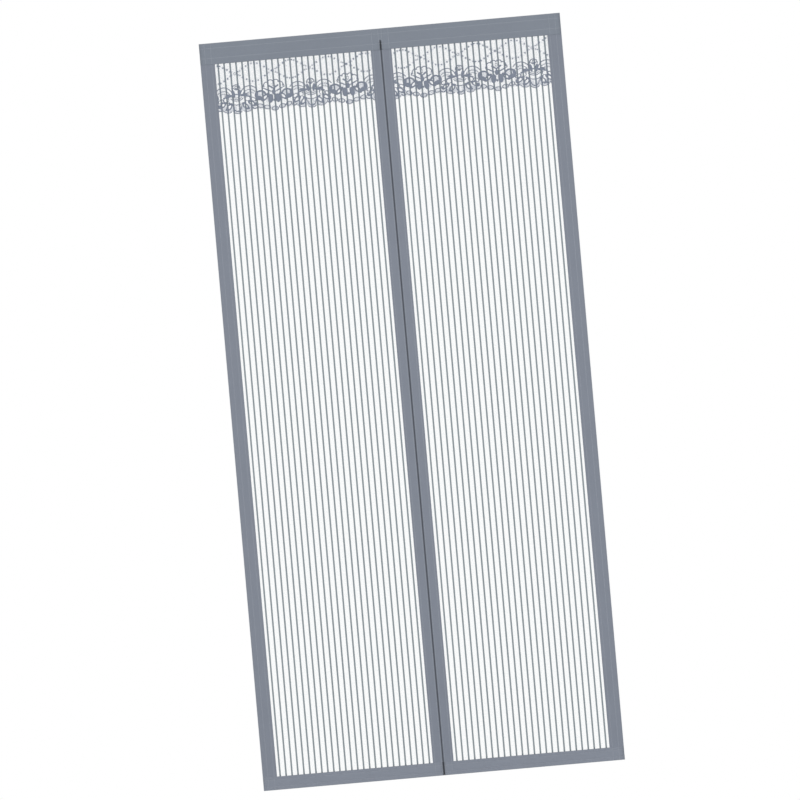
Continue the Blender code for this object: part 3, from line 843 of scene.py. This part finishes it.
# %% [markdown]
# ## Stitches
# A sewing machine leaves a row of short plump threads. There are thousands, so each has to stay
# cheap: a sphere of 20 faces, pulled long, is enough, and an Array repeats it down a row. The upright
# rows run on over the header and the hem, where they lie on the outer cloth.

# %% One stitch, and a row of them
STITCH_HALF = Vector((0.38 * MM, 0.24 * MM, 1.30 * MM))

bm = bmesh.new()
bmesh.ops.create_icosphere(bm, subdivisions=1, radius=1.0)
bmesh.ops.scale(bm, verts=bm.verts, vec=STITCH_HALF)
stitch = to_mesh(bm, "stitch")
stitch_level = stitch.copy()
stitch_level.transform(Matrix.Rotation(math.pi / 2, 4, "Y"))
print("one stitch has", len(stitch.polygons), "faces")


def sew(bm, start, finish):
    """Adds a row of stitches from start to finish, which differ along X or along Z."""
    run = Vector(finish) - Vector(start)
    count = max(int(run.length / STITCH_PITCH), 1)
    one = stitch if abs(run.z) > abs(run.x) else stitch_level
    row = new_object("row", one)
    copies = row.modifiers.new("copies", "ARRAY")
    copies.count = count
    copies.use_relative_offset = False
    copies.use_constant_offset = True
    copies.constant_offset_displace = run / count
    made = bpy.data.meshes.new_from_object(row.evaluated_get(bpy.context.evaluated_depsgraph_get()))
    made.transform(Matrix.Translation(Vector(start) + run / count / 2))
    bm.from_mesh(made)
    bpy.data.objects.remove(row)
    bpy.data.meshes.remove(made)


# %% [markdown]
# Thread shows on both faces, so each row is laid twice, a little sunk into the cloth. Rows stop short
# of the ends of a tape, and the header's lower row stops on either side of the cut.

# %% Sew the tapes, front and back
END_GAP = 2.0 * MM
HEADER_BETWEEN_ROWS = 28.0 * MM
HEM_BETWEEN_ROWS = 19.0 * MM
FRONT, BACK = 0, 1

sewn_on = {"header": bmesh.new()}
for kind in ("side", "centre", "hem"):
    for side, _ in SIDES:
        sewn_on[f"{kind}_{side}"] = bmesh.new()

left_end, right_end = HEADER_BOX[0].x + END_GAP, HEADER_BOX[1].x - END_GAP
for row in header.rows:
    z = HEADER_BOX[1].z - row
    runs = [(left_end, right_end)]
    if row > HEADER_HEIGHT - SLIT:
        runs = [(left_end, -END_GAP / 2), (END_GAP / 2, right_end)]
    for y in header.thread_depths(row):
        for from_x, to_x in runs:
            sew(sewn_on["header"], (from_x, y, z), (to_x, y, z))

for side, sign in SIDES:
    low, high = HEM_BOX[side]
    for row in hem.rows:
        z = low.z + row
        for y in hem.thread_depths(row):
            sew(sewn_on[f"hem_{side}"], (low.x + END_GAP, y, z), (high.x - END_GAP, y, z))
    top, bottom = HEADER_BOX[0].z, high.z
    uprights = [("side", side_tape, row, SCREEN_WIDTH / 2 - row, 0.0) for row in side_tape.rows]
    uprights += [("centre", centre_tape, row, row, MAGNET_RISE) for row in centre_tape.rows]
    for kind, tape, row, beside, sunk in uprights:
        rows = sewn_on[f"{kind}_{side}"]
        x = sign * beside
        for face in (FRONT, BACK):
            here = tape.thread_depths(row)[face] + (sunk if face == FRONT else 0.0)
            over = header.thread_depths(HEADER_BETWEEN_ROWS)[face]
            under = hem.thread_depths(HEM_BETWEEN_ROWS)[face] + (MAGNET_RISE if face == FRONT else 0.0)
            sew(rows, (x, here, bottom), (x, here, top))
            sew(rows, (x, over, top + END_GAP), (x, over, HEADER_BOX[1].z - END_GAP))
            sew(rows, (x, under, low.z + END_GAP), (x, under, bottom - END_GAP))
for name, rows in sewn_on.items():
    new_piece(f"stitches_{name}", rows, THREAD)

# %% [markdown]
# ## Net
# Each panel's net is one cut of cloth, whose edges are held inside the tapes. The mesh itself is in
# the finish, so the sheet is a plain grid, just fine enough to billow smoothly.

# %% Hang the nets
NET_STEP = 12.0 * MM
NET_FROM_BACK = 0.2 * MM

for side, _ in SIDES:
    low, high = NET_BOX[side]
    width, length = high.x - low.x, high.z - low.z
    centre = (low + high) / 2
    bm = cut_cloth(width, length, NET_STEP, NET_STEP)
    for vertex in bm.verts:
        vertex.co = (centre.x + vertex.co.x, high.y - NET_FROM_BACK, centre.z + vertex.co.y)
    piece = new_piece(f"net_cloth_{side}", bm, NET, [f"net_{side}"])

# %% [markdown]
# ### Stripes
# The stripes are close-knitted ribs in the net. They could be a pattern in its finish, but they
# stand out from it, so each is a flattened rod, cut into short lengths so that it can billow too.

# %% Knit the stripes
STRIPE_PITCH = 16.8 * MM
STRIPE_COUNT = 26
STRIPE_WIDTH = 4.6 * MM
STRIPE_DEPTH = 0.7 * MM
FIRST_STRIPE = OPEN_FROM + 9.05 * MM
STRIPE_CUTS = 90
ROD_SIDES = 8

for side, sign in SIDES:
    low, high = NET_BOX[side]
    bm = bmesh.new()
    bmesh.ops.create_cone(bm, cap_ends=True, segments=ROD_SIDES, radius1=0.5, radius2=0.5, depth=1.0)
    lengths = [edge for edge in bm.edges if abs(edge.verts[0].co.z - edge.verts[1].co.z) > 0.5]
    bmesh.ops.subdivide_edges(bm, edges=lengths, cuts=STRIPE_CUTS)
    bmesh.ops.scale(bm, verts=bm.verts, vec=(STRIPE_WIDTH, STRIPE_DEPTH, high.z - low.z))
    one = to_mesh(bm, "stripe")
    bm = bmesh.new()
    for number in range(STRIPE_COUNT):
        copy = one.copy()
        x = sign * (FIRST_STRIPE + number * STRIPE_PITCH)
        copy.transform(Matrix.Translation((x, high.y - NET_FROM_BACK, (low.z + high.z) / 2)))
        bm.from_mesh(copy)
        bpy.data.meshes.remove(copy)
    new_piece(f"net_stripes_{side}", bm, STRIPE)

# %% [markdown]
# ## Lace
# The lace is tulle with raised satin work: an arch flower and a bud flower by turns, over a looped
# edge. The measured model has one plate with holes, but thread work is rounder than that. Each motif
# is drawn once, as ovals and cords in mm from its own middle and from the top of the screen, and
# copied along the band.

# %% What the lace is drawn with
WORK_RISE = 0.42
FRONTWARD = Vector((0.0, -1.0, 0.0))
PAD_AROUND = 10
PAD_ALONG = 6
CORD_AROUND = 6
CORD_STEP = 3.0
FEWEST_STEPS = 14


def turned_place(x, down, turn):
    """Turns what is drawn about its own middle anticlockwise, and takes it to (x, down) in mm."""
    place = Matrix.Translation((x * MM, 0.0, -down * MM))
    return place @ Matrix.Rotation(math.radians(turn), 4, FRONTWARD)


def pad(bm, x, down, half_length, half_width, turn=0.0):
    """A raised oval of satin stitch, whose length stands upright before it is turned."""
    size = Matrix.Diagonal((half_width * MM, WORK_RISE * MM, half_length * MM, 1.0))
    bmesh.ops.create_uvsphere(bm, u_segments=PAD_AROUND, v_segments=PAD_ALONG, radius=1.0,
                              matrix=turned_place(x, down, turn) @ size)


def dot(bm, x, down, radius):
    pad(bm, x, down, radius, radius)


def cord(bm, x, down, half_width, half_height, thick, start=0.0, finish=360.0, lean=0.0):
    """A cord laid along an oval, from one angle to another, anticlockwise from the right."""
    closed = finish - start >= 360.0
    turn = math.radians(finish - start)
    new = bmesh.new()
    bmesh.ops.create_circle(new, cap_ends=not closed, segments=CORD_AROUND, radius=thick * MM)
    bmesh.ops.scale(new, verts=new.verts, vec=(1.0, min(WORK_RISE / thick, 1.0), 1.0))
    bmesh.ops.translate(new, verts=new.verts, vec=(half_width * MM, 0.0, 0.0))
    bmesh.ops.rotate(new, verts=new.verts, matrix=Matrix.Rotation(math.radians(start), 3, FRONTWARD))
    steps = max(FEWEST_STEPS, round(turn * max(half_width, half_height) / CORD_STEP))
    bmesh.ops.spin(new, geom=new.verts[:] + new.edges[:] + new.faces[:], cent=(0.0, 0.0, 0.0),
                   axis=FRONTWARD, angle=turn, steps=steps, use_merge=closed)
    bmesh.ops.recalc_face_normals(new, faces=new.faces)
    height = Matrix.Diagonal((1.0, 1.0, half_height / half_width, 1.0))
    bmesh.ops.transform(new, matrix=turned_place(x, down, lean) @ height, verts=new.verts)
    made = to_mesh(new, "cord")
    bm.from_mesh(made)
    bpy.data.meshes.remove(made)


# %% [markdown]
# Both flowers are the same on the left and the right, so each part is given once, on the right, and
# drawn on both sides unless it stands on the middle line.

# %% Draw a list of parts on both sides of the middle line
def ways(x):
    return (-1, 1) if x else (1,)


def draw(bm, dots, pads, rings, arcs):
    for x, down, radius in dots:
        for way in ways(x):
            dot(bm, way * x, down, radius)
    for x, down, half_length, half_width, turn in pads:
        for way in ways(x):
            pad(bm, way * x, down, half_length, half_width, way * turn)
    for x, down, half_width, half_height, thick, lean in rings:
        for way in ways(x):
            cord(bm, way * x, down, half_width, half_height, thick, lean=way * lean)
    for x, down, half_width, half_height, thick, aim, spread, lean in arcs:
        for way in ways(x):
            bulge = 90 + way * aim
            cord(bm, way * x, down, half_width, half_height, thick,
                 bulge - spread, bulge + spread, way * lean)


# %% [markdown]
# The clear ground has two chains of dots in it. They cross above every motif, at a knot over the arch
# and at a small ring over the bud. Each dot is (x, how far above and below the crossing, radius).

# %% Chains of dots in the clear ground
GROUND_DOTS = (
    (9.2, 4.7, 1.6), (13.8, 6.3, 1.7), (21.0, 12.6, 2.4),
    (32.0, 18.4, 2.2), (40.6, 23.6, 2.0), (47.6, 25.2, 2.0),
)
CROSSING_DOWN = 91.8


def ground_dots(bm):
    for x, rise, radius in GROUND_DOTS:
        for way in (-1, 1):
            dot(bm, way * x, CROSSING_DOWN - rise, radius)
            dot(bm, way * x, CROSSING_DOWN + rise, radius)


print(len(GROUND_DOTS), "dots on each arm of a crossing")

# %% [markdown]
# ### Looped edge
# The lower edge is a row of loops on a shallow scallop under every motif, with small picots along
# the bottom of each loop. A loop is (x, down, half width, half height, lean).

# %% The loops under one motif
SCALLOP_HALF = 52.25
SCALLOP_SAG = 12.5
LOWEST = 200.0
ARC = (SCALLOP_HALF ** 2 + SCALLOP_SAG ** 2) / (2 * SCALLOP_SAG)
ARC_DOWN = LOWEST - ARC
LOOPS = {
    "arch": ((0.0, 197.8, 9.0, 5.2, 0), (21.0, 192.6, 8.6, 5.1, 13), (40.0, 187.6, 8.0, 5.0, 17)),
    "bud": ((0.0, 195.0, 12.0, 9.0, 0), (28.0, 192.0, 12.6, 8.4, 10), (49.0, 186.5, 7.0, 7.2, 0)),
}
LOOP_THICK = {"arch": 1.9, "bud": 1.4}
LOOP_ANGLES = {"arch": (0.0, 360.0), "bud": (200.0, 340.0)}
PICOTS = 7
PICOT_RADIUS = 0.8
PICOTS_FROM = 215.0
PICOTS_SPREAD = 110.0


def edge_loops(bm, kind):
    thick = LOOP_THICK[kind]
    for x, down, half_width, half_height, lean in LOOPS[kind]:
        for way in ways(x):
            cord(bm, way * x, down, half_width, half_height, thick, *LOOP_ANGLES[kind], way * lean)
            for number in range(PICOTS):
                angle = math.radians(PICOTS_FROM + PICOTS_SPREAD * number / (PICOTS - 1) + way * lean)
                picot_x = way * x + (half_width + thick) * math.cos(angle)
                dot(bm, picot_x, down - (half_height + thick) * math.sin(angle), PICOT_RADIUS)


print("a scallop is an arc of radius", round(ARC, 1), "mm")

# %% [markdown]
# ### Arch flower
# The arch flower is a small bloom under an arch of six lobes. Below it are two broad petals, with a
# leaf and a veiled wing on either side. It could be traced as one outline, but lace is worked in
# single leaves and lines that lie over one another, and a list of them is easy to change.
#
# Lengths are in mm and angles in degrees. A dot is (x, down, radius). A pad is (x, down, half length,
# half width, turn). A ring is (x, down, half width, half height, thickness, lean). An arc is a part of
# a ring, with the angle from upright at which its middle lies and half its spread before the lean.

# %% Arch flower
ARCH_DOTS = (
    (12.2, 134, 2.6),  # in the spandrels beside the bloom
    (0, 142, 2.6),  # eye of the bloom
    (0, 174.5, 3.6),  # between the broad petals
)
ARCH_PADS = (
    (0, CROSSING_DOWN, 3.0, 3.9, 0),  # knot where the chains cross
    (0, 152, 8.0, 5.4, 0),  # body of the bloom
    (6.6, 137.4, 9.0, 2.6, -56),  # its upper petals
    (16, 145.4, 14.5, 2.0, -64),  # its long side petals
    (9.5, 163, 6.0, 7.5, 0),  # broad petals, upper part
    (10, 169.6, 12.6, 7.8, 7),  # broad petals, lower part
    (42, 165.8, 11.0, 6.8, -74),  # wings
    (49.5, 156, 9.5, 5.0, 8),  # tips of the wings
    (52.2, 181, 6.0, 2.4, 0),  # between two motifs
)
ARCH_RINGS = (
    (0, 130.5, 3.0, 4.6, 0.8, 0),  # stamen
    (25.6, 165, 4.8, 10.8, 2.1, 49),  # leaves
)
ARCH_ARCS = (
    (7.6, 124.5, 7.8, 7.0, 1.7, 0, 78, 0),  # top lobes of the arch
    (19.3, 131, 8.2, 7.4, 1.7, 0, 90, -45),  # shoulder lobes
    (25, 137, 5.0, 5.0, 1.7, -70, 65, 0),  # side lobes
    (37, 159, 14.0, 12.8, 2.9, 0, 82, 0),  # upper edges of the wings
)

# %% [markdown]
# ### Bud flower
# The bud flower stands between two upright petals. A striped shell spreads on either side, four arcs
# smile below, and open leaves and a drop fill the scallop.

# %% Bud flower
BUD_DOTS = (
    (0, 136.5, 2.6),  # heart of the bud
    (22.8, 173.4, 2.8),  # over the inner leaves
    (32.5, 191.5, 2.4),  # over the loops
)
BUD_PADS = (
    (0, 150.4, 1.7, 5.0, 0),  # foot of the bud
    (4.6, 135.0, 5.5, 1.5, -48),  # sepals
    (8.2, 147.5, 10.8, 4.3, -13),  # upright petals
    (19, 154, 12.5, 3.6, 82),  # level petals, inner
    (27, 150.8, 8.5, 2.0, 76),  # level petals, over them
    (32.5, 157.4, 7.0, 2.4, 74),  # level petals, outer
    (23, 161, 5.0, 1.6, 0),  # stems under them
    (33.5, 172.2, 5.0, 2.2, 60),  # small leaves
)
BUD_RINGS = (
    (0, 92.5, 3.4, 3.4, 0.7, 0),  # ring where the chains cross
    (0, 130.5, 3.2, 3.6, 1.2, 0),  # bud
    (22.8, 184.2, 4.9, 10.0, 1.9, 42),  # inner leaves
    (41, 178, 4.7, 9.8, 1.8, 55),  # middle leaves
    (45.5, 167.4, 4.6, 8.2, 1.2, 62),  # outer leaves
    (30, 164.5, 7.2, 6.0, 1.1, 0),  # eyes between the shells and the leaves
)
BUD_ARCS = (
    (0, 133.5, 10.6, 10.2, 1.7, 0, 105, 0),  # hood over the bud
    (36.5, 156, 26.0, 27.0, 1.5, 9, 66, 0),  # shells, outer stripe
    (36.5, 156, 19.5, 16.5, 1.2, 9, 66, 0),  # shells, middle stripe
    (36.5, 156, 13.5, 9.0, 1.2, 9, 66, 0),  # shells, inner stripe
    (0, 144, 16.0, 16.0, 1.0, 180, 40, 0),  # smiles, from the uppermost down
    (0, 144, 20.3, 20.3, 1.1, 180, 46, 0),
    (0, 144, 24.8, 24.8, 1.3, 180, 47, 0),
    (0, 144, 36.0, 36.0, 1.4, 180, 38, 0),
    (0, 182, 12.0, 16.0, 1.4, 180, 90, 0),  # drop
)


# %% [markdown]
# With the parts as lists, one function draws either flower, together with the dots above it and the
# loops below.

# %% Draw the two flowers
def motif(kind, *parts):
    bm = bmesh.new()
    ground_dots(bm)
    edge_loops(bm, kind)
    draw(bm, *parts)
    return to_mesh(bm, f"{kind}_flower")


motifs = {"arch": motif("arch", ARCH_DOTS, ARCH_PADS, ARCH_RINGS, ARCH_ARCS),
          "bud": motif("bud", BUD_DOTS, BUD_PADS, BUD_RINGS, BUD_ARCS)}
print({name: len(mesh.polygons) for name, mesh in motifs.items()}, "faces")

# %% [markdown]
# The motifs run on across both panels. What would lie beyond a panel's tapes is cut off with
# bisect_plane, a little way under the tape, and the cut ends are closed.

# %% Work the lace of each panel
LACE_PHASE = 4.1 * MM
LACE_PITCH = 104.5 * MM
TUCK = 1.5 * MM
SCREEN_TOP = HEADER_BOX[1].z
LACE_LIFT = 1.0 * MM
WORK_FRONTWARD = 0.1 * MM
FARTHEST = 5


def kind_of(number):
    """The motifs are numbered from the one nearest the slit, which is a bud."""
    return "arch" if number % 2 else "bud"


def cut_off(bm, x, outward):
    """Cuts away what lies beyond x, and closes the cut."""
    parts = bm.verts[:] + bm.edges[:] + bm.faces[:]
    bmesh.ops.bisect_plane(bm, geom=parts, plane_co=(x, 0.0, 0.0), plane_no=(outward, 0.0, 0.0),
                           clear_outer=True)
    rim = [edge for edge in bm.edges if edge.is_boundary]
    bmesh.ops.holes_fill(bm, edges=rim, sides=0)


for side, sign in SIDES:
    low, high = LACE_BOX[side]
    left, right = sorted((sign * (OPEN_FROM - TUCK), sign * (OPEN_TO + TUCK)))
    depth = (low.y + high.y) / 2 - WORK_FRONTWARD
    bm = bmesh.new()
    for number in range(-FARTHEST, FARTHEST + 1):
        x = LACE_PHASE + number * LACE_PITCH
        if left - LACE_PITCH < x < right + LACE_PITCH:
            copy = motifs[kind_of(number)].copy()
            copy.transform(Matrix.Translation((x, depth, SCREEN_TOP + LACE_LIFT)))
            bm.from_mesh(copy)
            bpy.data.meshes.remove(copy)
    cut_off(bm, left, -1.0)
    cut_off(bm, right, 1.0)
    new_piece(f"lace_work_{side}", bm, SATIN)

# %% [markdown]
# The tulle is a grid whose lowest row follows the loops. An attribute on its points says how close
# the threads are: open in the ground, closer in veiled ovals. A veil is (x, down, half width, half
# height, closeness), and lies over the veils before it.

# %% Lay the tulle
TULLE_STEP = 2.6 * MM
CLEAR = 0.0
DOT_VEIL = 0.35
DOT_VEIL_REACH = 2.0
VEIL_EASE = 0.4
VEILS = {
    "arch": (
        (0, 92, 5.5, 4.5, 0.4), (0, 160, 32, 18, 0.16), (27, 163, 5, 4, CLEAR),
        (34, 155, 11, 6.5, 0.55), (45, 156, 8, 10, 0.7), (19, 171, 5, 8, 0.7),
        (0, 198, 9, 6, 0.75), (21, 193, 9, 6, 0.45), (40, 187.5, 8, 6, 0.45),
    ),
    "bud": (
        (0, 92, 7, 5, 0.3), (42, 143, 13, 10, 0.3), (0, 157, 5, 3, CLEAR), (0, 165, 17, 5, 0.16),
        (0, 193, 13, 12, 0.7), (0, 189, 3.5, 6, CLEAR), (27, 192, 19, 12, 0.75),
        (48, 187, 9, 11, 0.7), (23, 184.5, 4.5, 5.5, CLEAR), (41, 177.5, 5.5, 4.5, CLEAR),
    ),
}
BETWEEN_LOOPS = 2.0


def nearest_motif(x):
    """The kind of motif at x in metres, and how far in mm x lies from its middle."""
    number = round((x - LACE_PHASE) / LACE_PITCH)
    return kind_of(number), abs(x - LACE_PHASE - number * LACE_PITCH) / MM


def edge_down(x):
    """How far below the top of the screen the edge of the tulle lies, in mm, at x in metres."""
    kind, beside = nearest_motif(x)
    lowest = ARC_DOWN + math.sqrt(ARC ** 2 - beside ** 2) - BETWEEN_LOOPS
    for loop_x, loop_down, half_width, half_height, _ in LOOPS[kind]:
        part = min(abs(beside - loop_x) / half_width, 1.0)
        lowest = max(lowest, loop_down + half_height * math.sqrt(1.0 - part ** 2))
    return lowest


def closeness(x, z):
    """How close the threads are at this place: each veil is laid over those before it."""
    kind, beside = nearest_motif(x)
    down = (SCREEN_TOP + LACE_LIFT - z) / MM
    patches = []
    for dot_x, rise, radius in GROUND_DOTS:
        reach = radius + DOT_VEIL_REACH
        for way in (-1, 1):
            patches.append((dot_x, CROSSING_DOWN + way * rise, reach, reach, DOT_VEIL))
    close = 0.0
    for veil_x, veil_down, half_width, half_height, amount in (*patches, *VEILS[kind]):
        from_middle = math.hypot((beside - veil_x) / half_width, (down - veil_down) / half_height)
        inside = eased((1.0 + VEIL_EASE / 2 - from_middle) / VEIL_EASE)
        close += (amount - close) * inside
    return close


for side, _ in SIDES:
    low, high = LACE_BOX[side]
    width, length = high.x - low.x, high.z - low.z
    centre = (low + high) / 2
    bm = cut_cloth(width, length, TULLE_STEP, TULLE_STEP)
    cloth = bm.loops.layers.uv.active
    close = bm.verts.layers.float.new("closeness")
    for vertex in bm.verts:
        x = centre.x + vertex.co.x
        part = 0.5 - vertex.co.y / length
        lowest = SCREEN_TOP + LACE_LIFT - edge_down(x) * MM
        z = high.z + (lowest - high.z) * part
        vertex.co = (x, centre.y, z)
        vertex[close] = closeness(x, z)
    for face in bm.faces:
        for loop in face.loops:
            loop[cloth].uv = (loop.vert.co.x, loop.vert.co.z)
    area = sum(face.calc_area() for face in bm.faces)
    piece = new_piece(f"lace_tulle_{side}", bm, TULLE, [f"lace_{side}"])

# %% [markdown]
# ## Hook tapes
# Strips of hook tape on the back hold the screen to the door frame. Each is a thin selvedge strip
# with a raised field of hooks, so its back face is inset by the selvedge and then lifted. It lies
# against the frame, so it doesn't sway with the cloth.

# %% Lay the hook tapes
HOOK_BASE = 0.5 * MM
SELVEDGE = 2.0 * MM
SHOULDER = 0.1 * MM
HOOK_BEVEL = 0.18 * MM


def hook_strip(low, high):
    """A strip between two corners, whose back face is raised inside its selvedges."""
    bm = bmesh.new()
    base = Vector((high.x, low.y + HOOK_BASE, high.z))
    place = Matrix.Translation((low + base) / 2) @ Matrix.Diagonal((*(base - low), 1.0))
    bmesh.ops.create_cube(bm, size=1.0, matrix=place)
    back = max(bm.faces, key=lambda face: face.calc_center_median().y)
    bmesh.ops.inset_region(bm, faces=[back], thickness=SELVEDGE, use_even_offset=True)
    bmesh.ops.inset_region(bm, faces=[back], thickness=SHOULDER, use_even_offset=True)
    bmesh.ops.translate(bm, verts=back.verts, vec=(0.0, high.y - base.y, 0.0))
    bmesh.ops.bevel(bm, geom=bm.edges, offset=HOOK_BEVEL, segments=2, profile=0.5, affect="EDGES",
                    material=-1, clamp_overlap=True)
    return bm


for edge, carrier in (("top", "header_cloth"), ("left", "side_cloth_left"), ("right", "side_cloth_right")):
    low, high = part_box(f"hook_tape_{edge}")
    mesh = to_mesh(hook_strip(low, high), "hook_strip")
    mesh.materials.append(HOOK)
    piece = new_object(f"hook_strip_{edge}", mesh)
    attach(piece, "root")
    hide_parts(f"hook_tape_{edge}")

# %% [markdown]
# ## Magnets and weights
# These hard parts are inside the tapes, so the measured solids stay as they are and only get their
# metal: bright nickel on the magnets and brushed steel on the weights.

# %% Metal
def metal(name, colour, roughness, streaks):
    finish, tree, shader = new_finish(name, colour, roughness, 0.0)
    shader.inputs["Metallic"].default_value = 1.0
    place = map_of(tree, "Object")
    lines = noise_value(tree, place, 400.0, streaks, 2.0)
    tree.links.new(maths(tree, "MULTIPLY_ADD", lines, 0.2, roughness - 0.1), shader.inputs["Roughness"])
    tree.links.new(tinted(tree, colour, lines, 0.85, 1.1), shader.inputs["Base Color"])
    return finish


NICKEL = metal("nickel", display(205, 203, 198), 0.25, (1.0, 1.0, 1.0))
STEEL = metal("brushed_steel", display(180, 182, 184), 0.38, (0.03, 1.0, 1.0))
for name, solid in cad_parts.items():
    if name.startswith(("magnet_", "hem_weight_")):
        for slot in solid.material_slots:
            slot.material = NICKEL if name.startswith("magnet_") else STEEL
print("metals:", NICKEL.name, STEEL.name)

# %% [markdown]
# ## Bring the scene up to date

# %% Bring the scene up to date
bpy.context.view_layer.update()
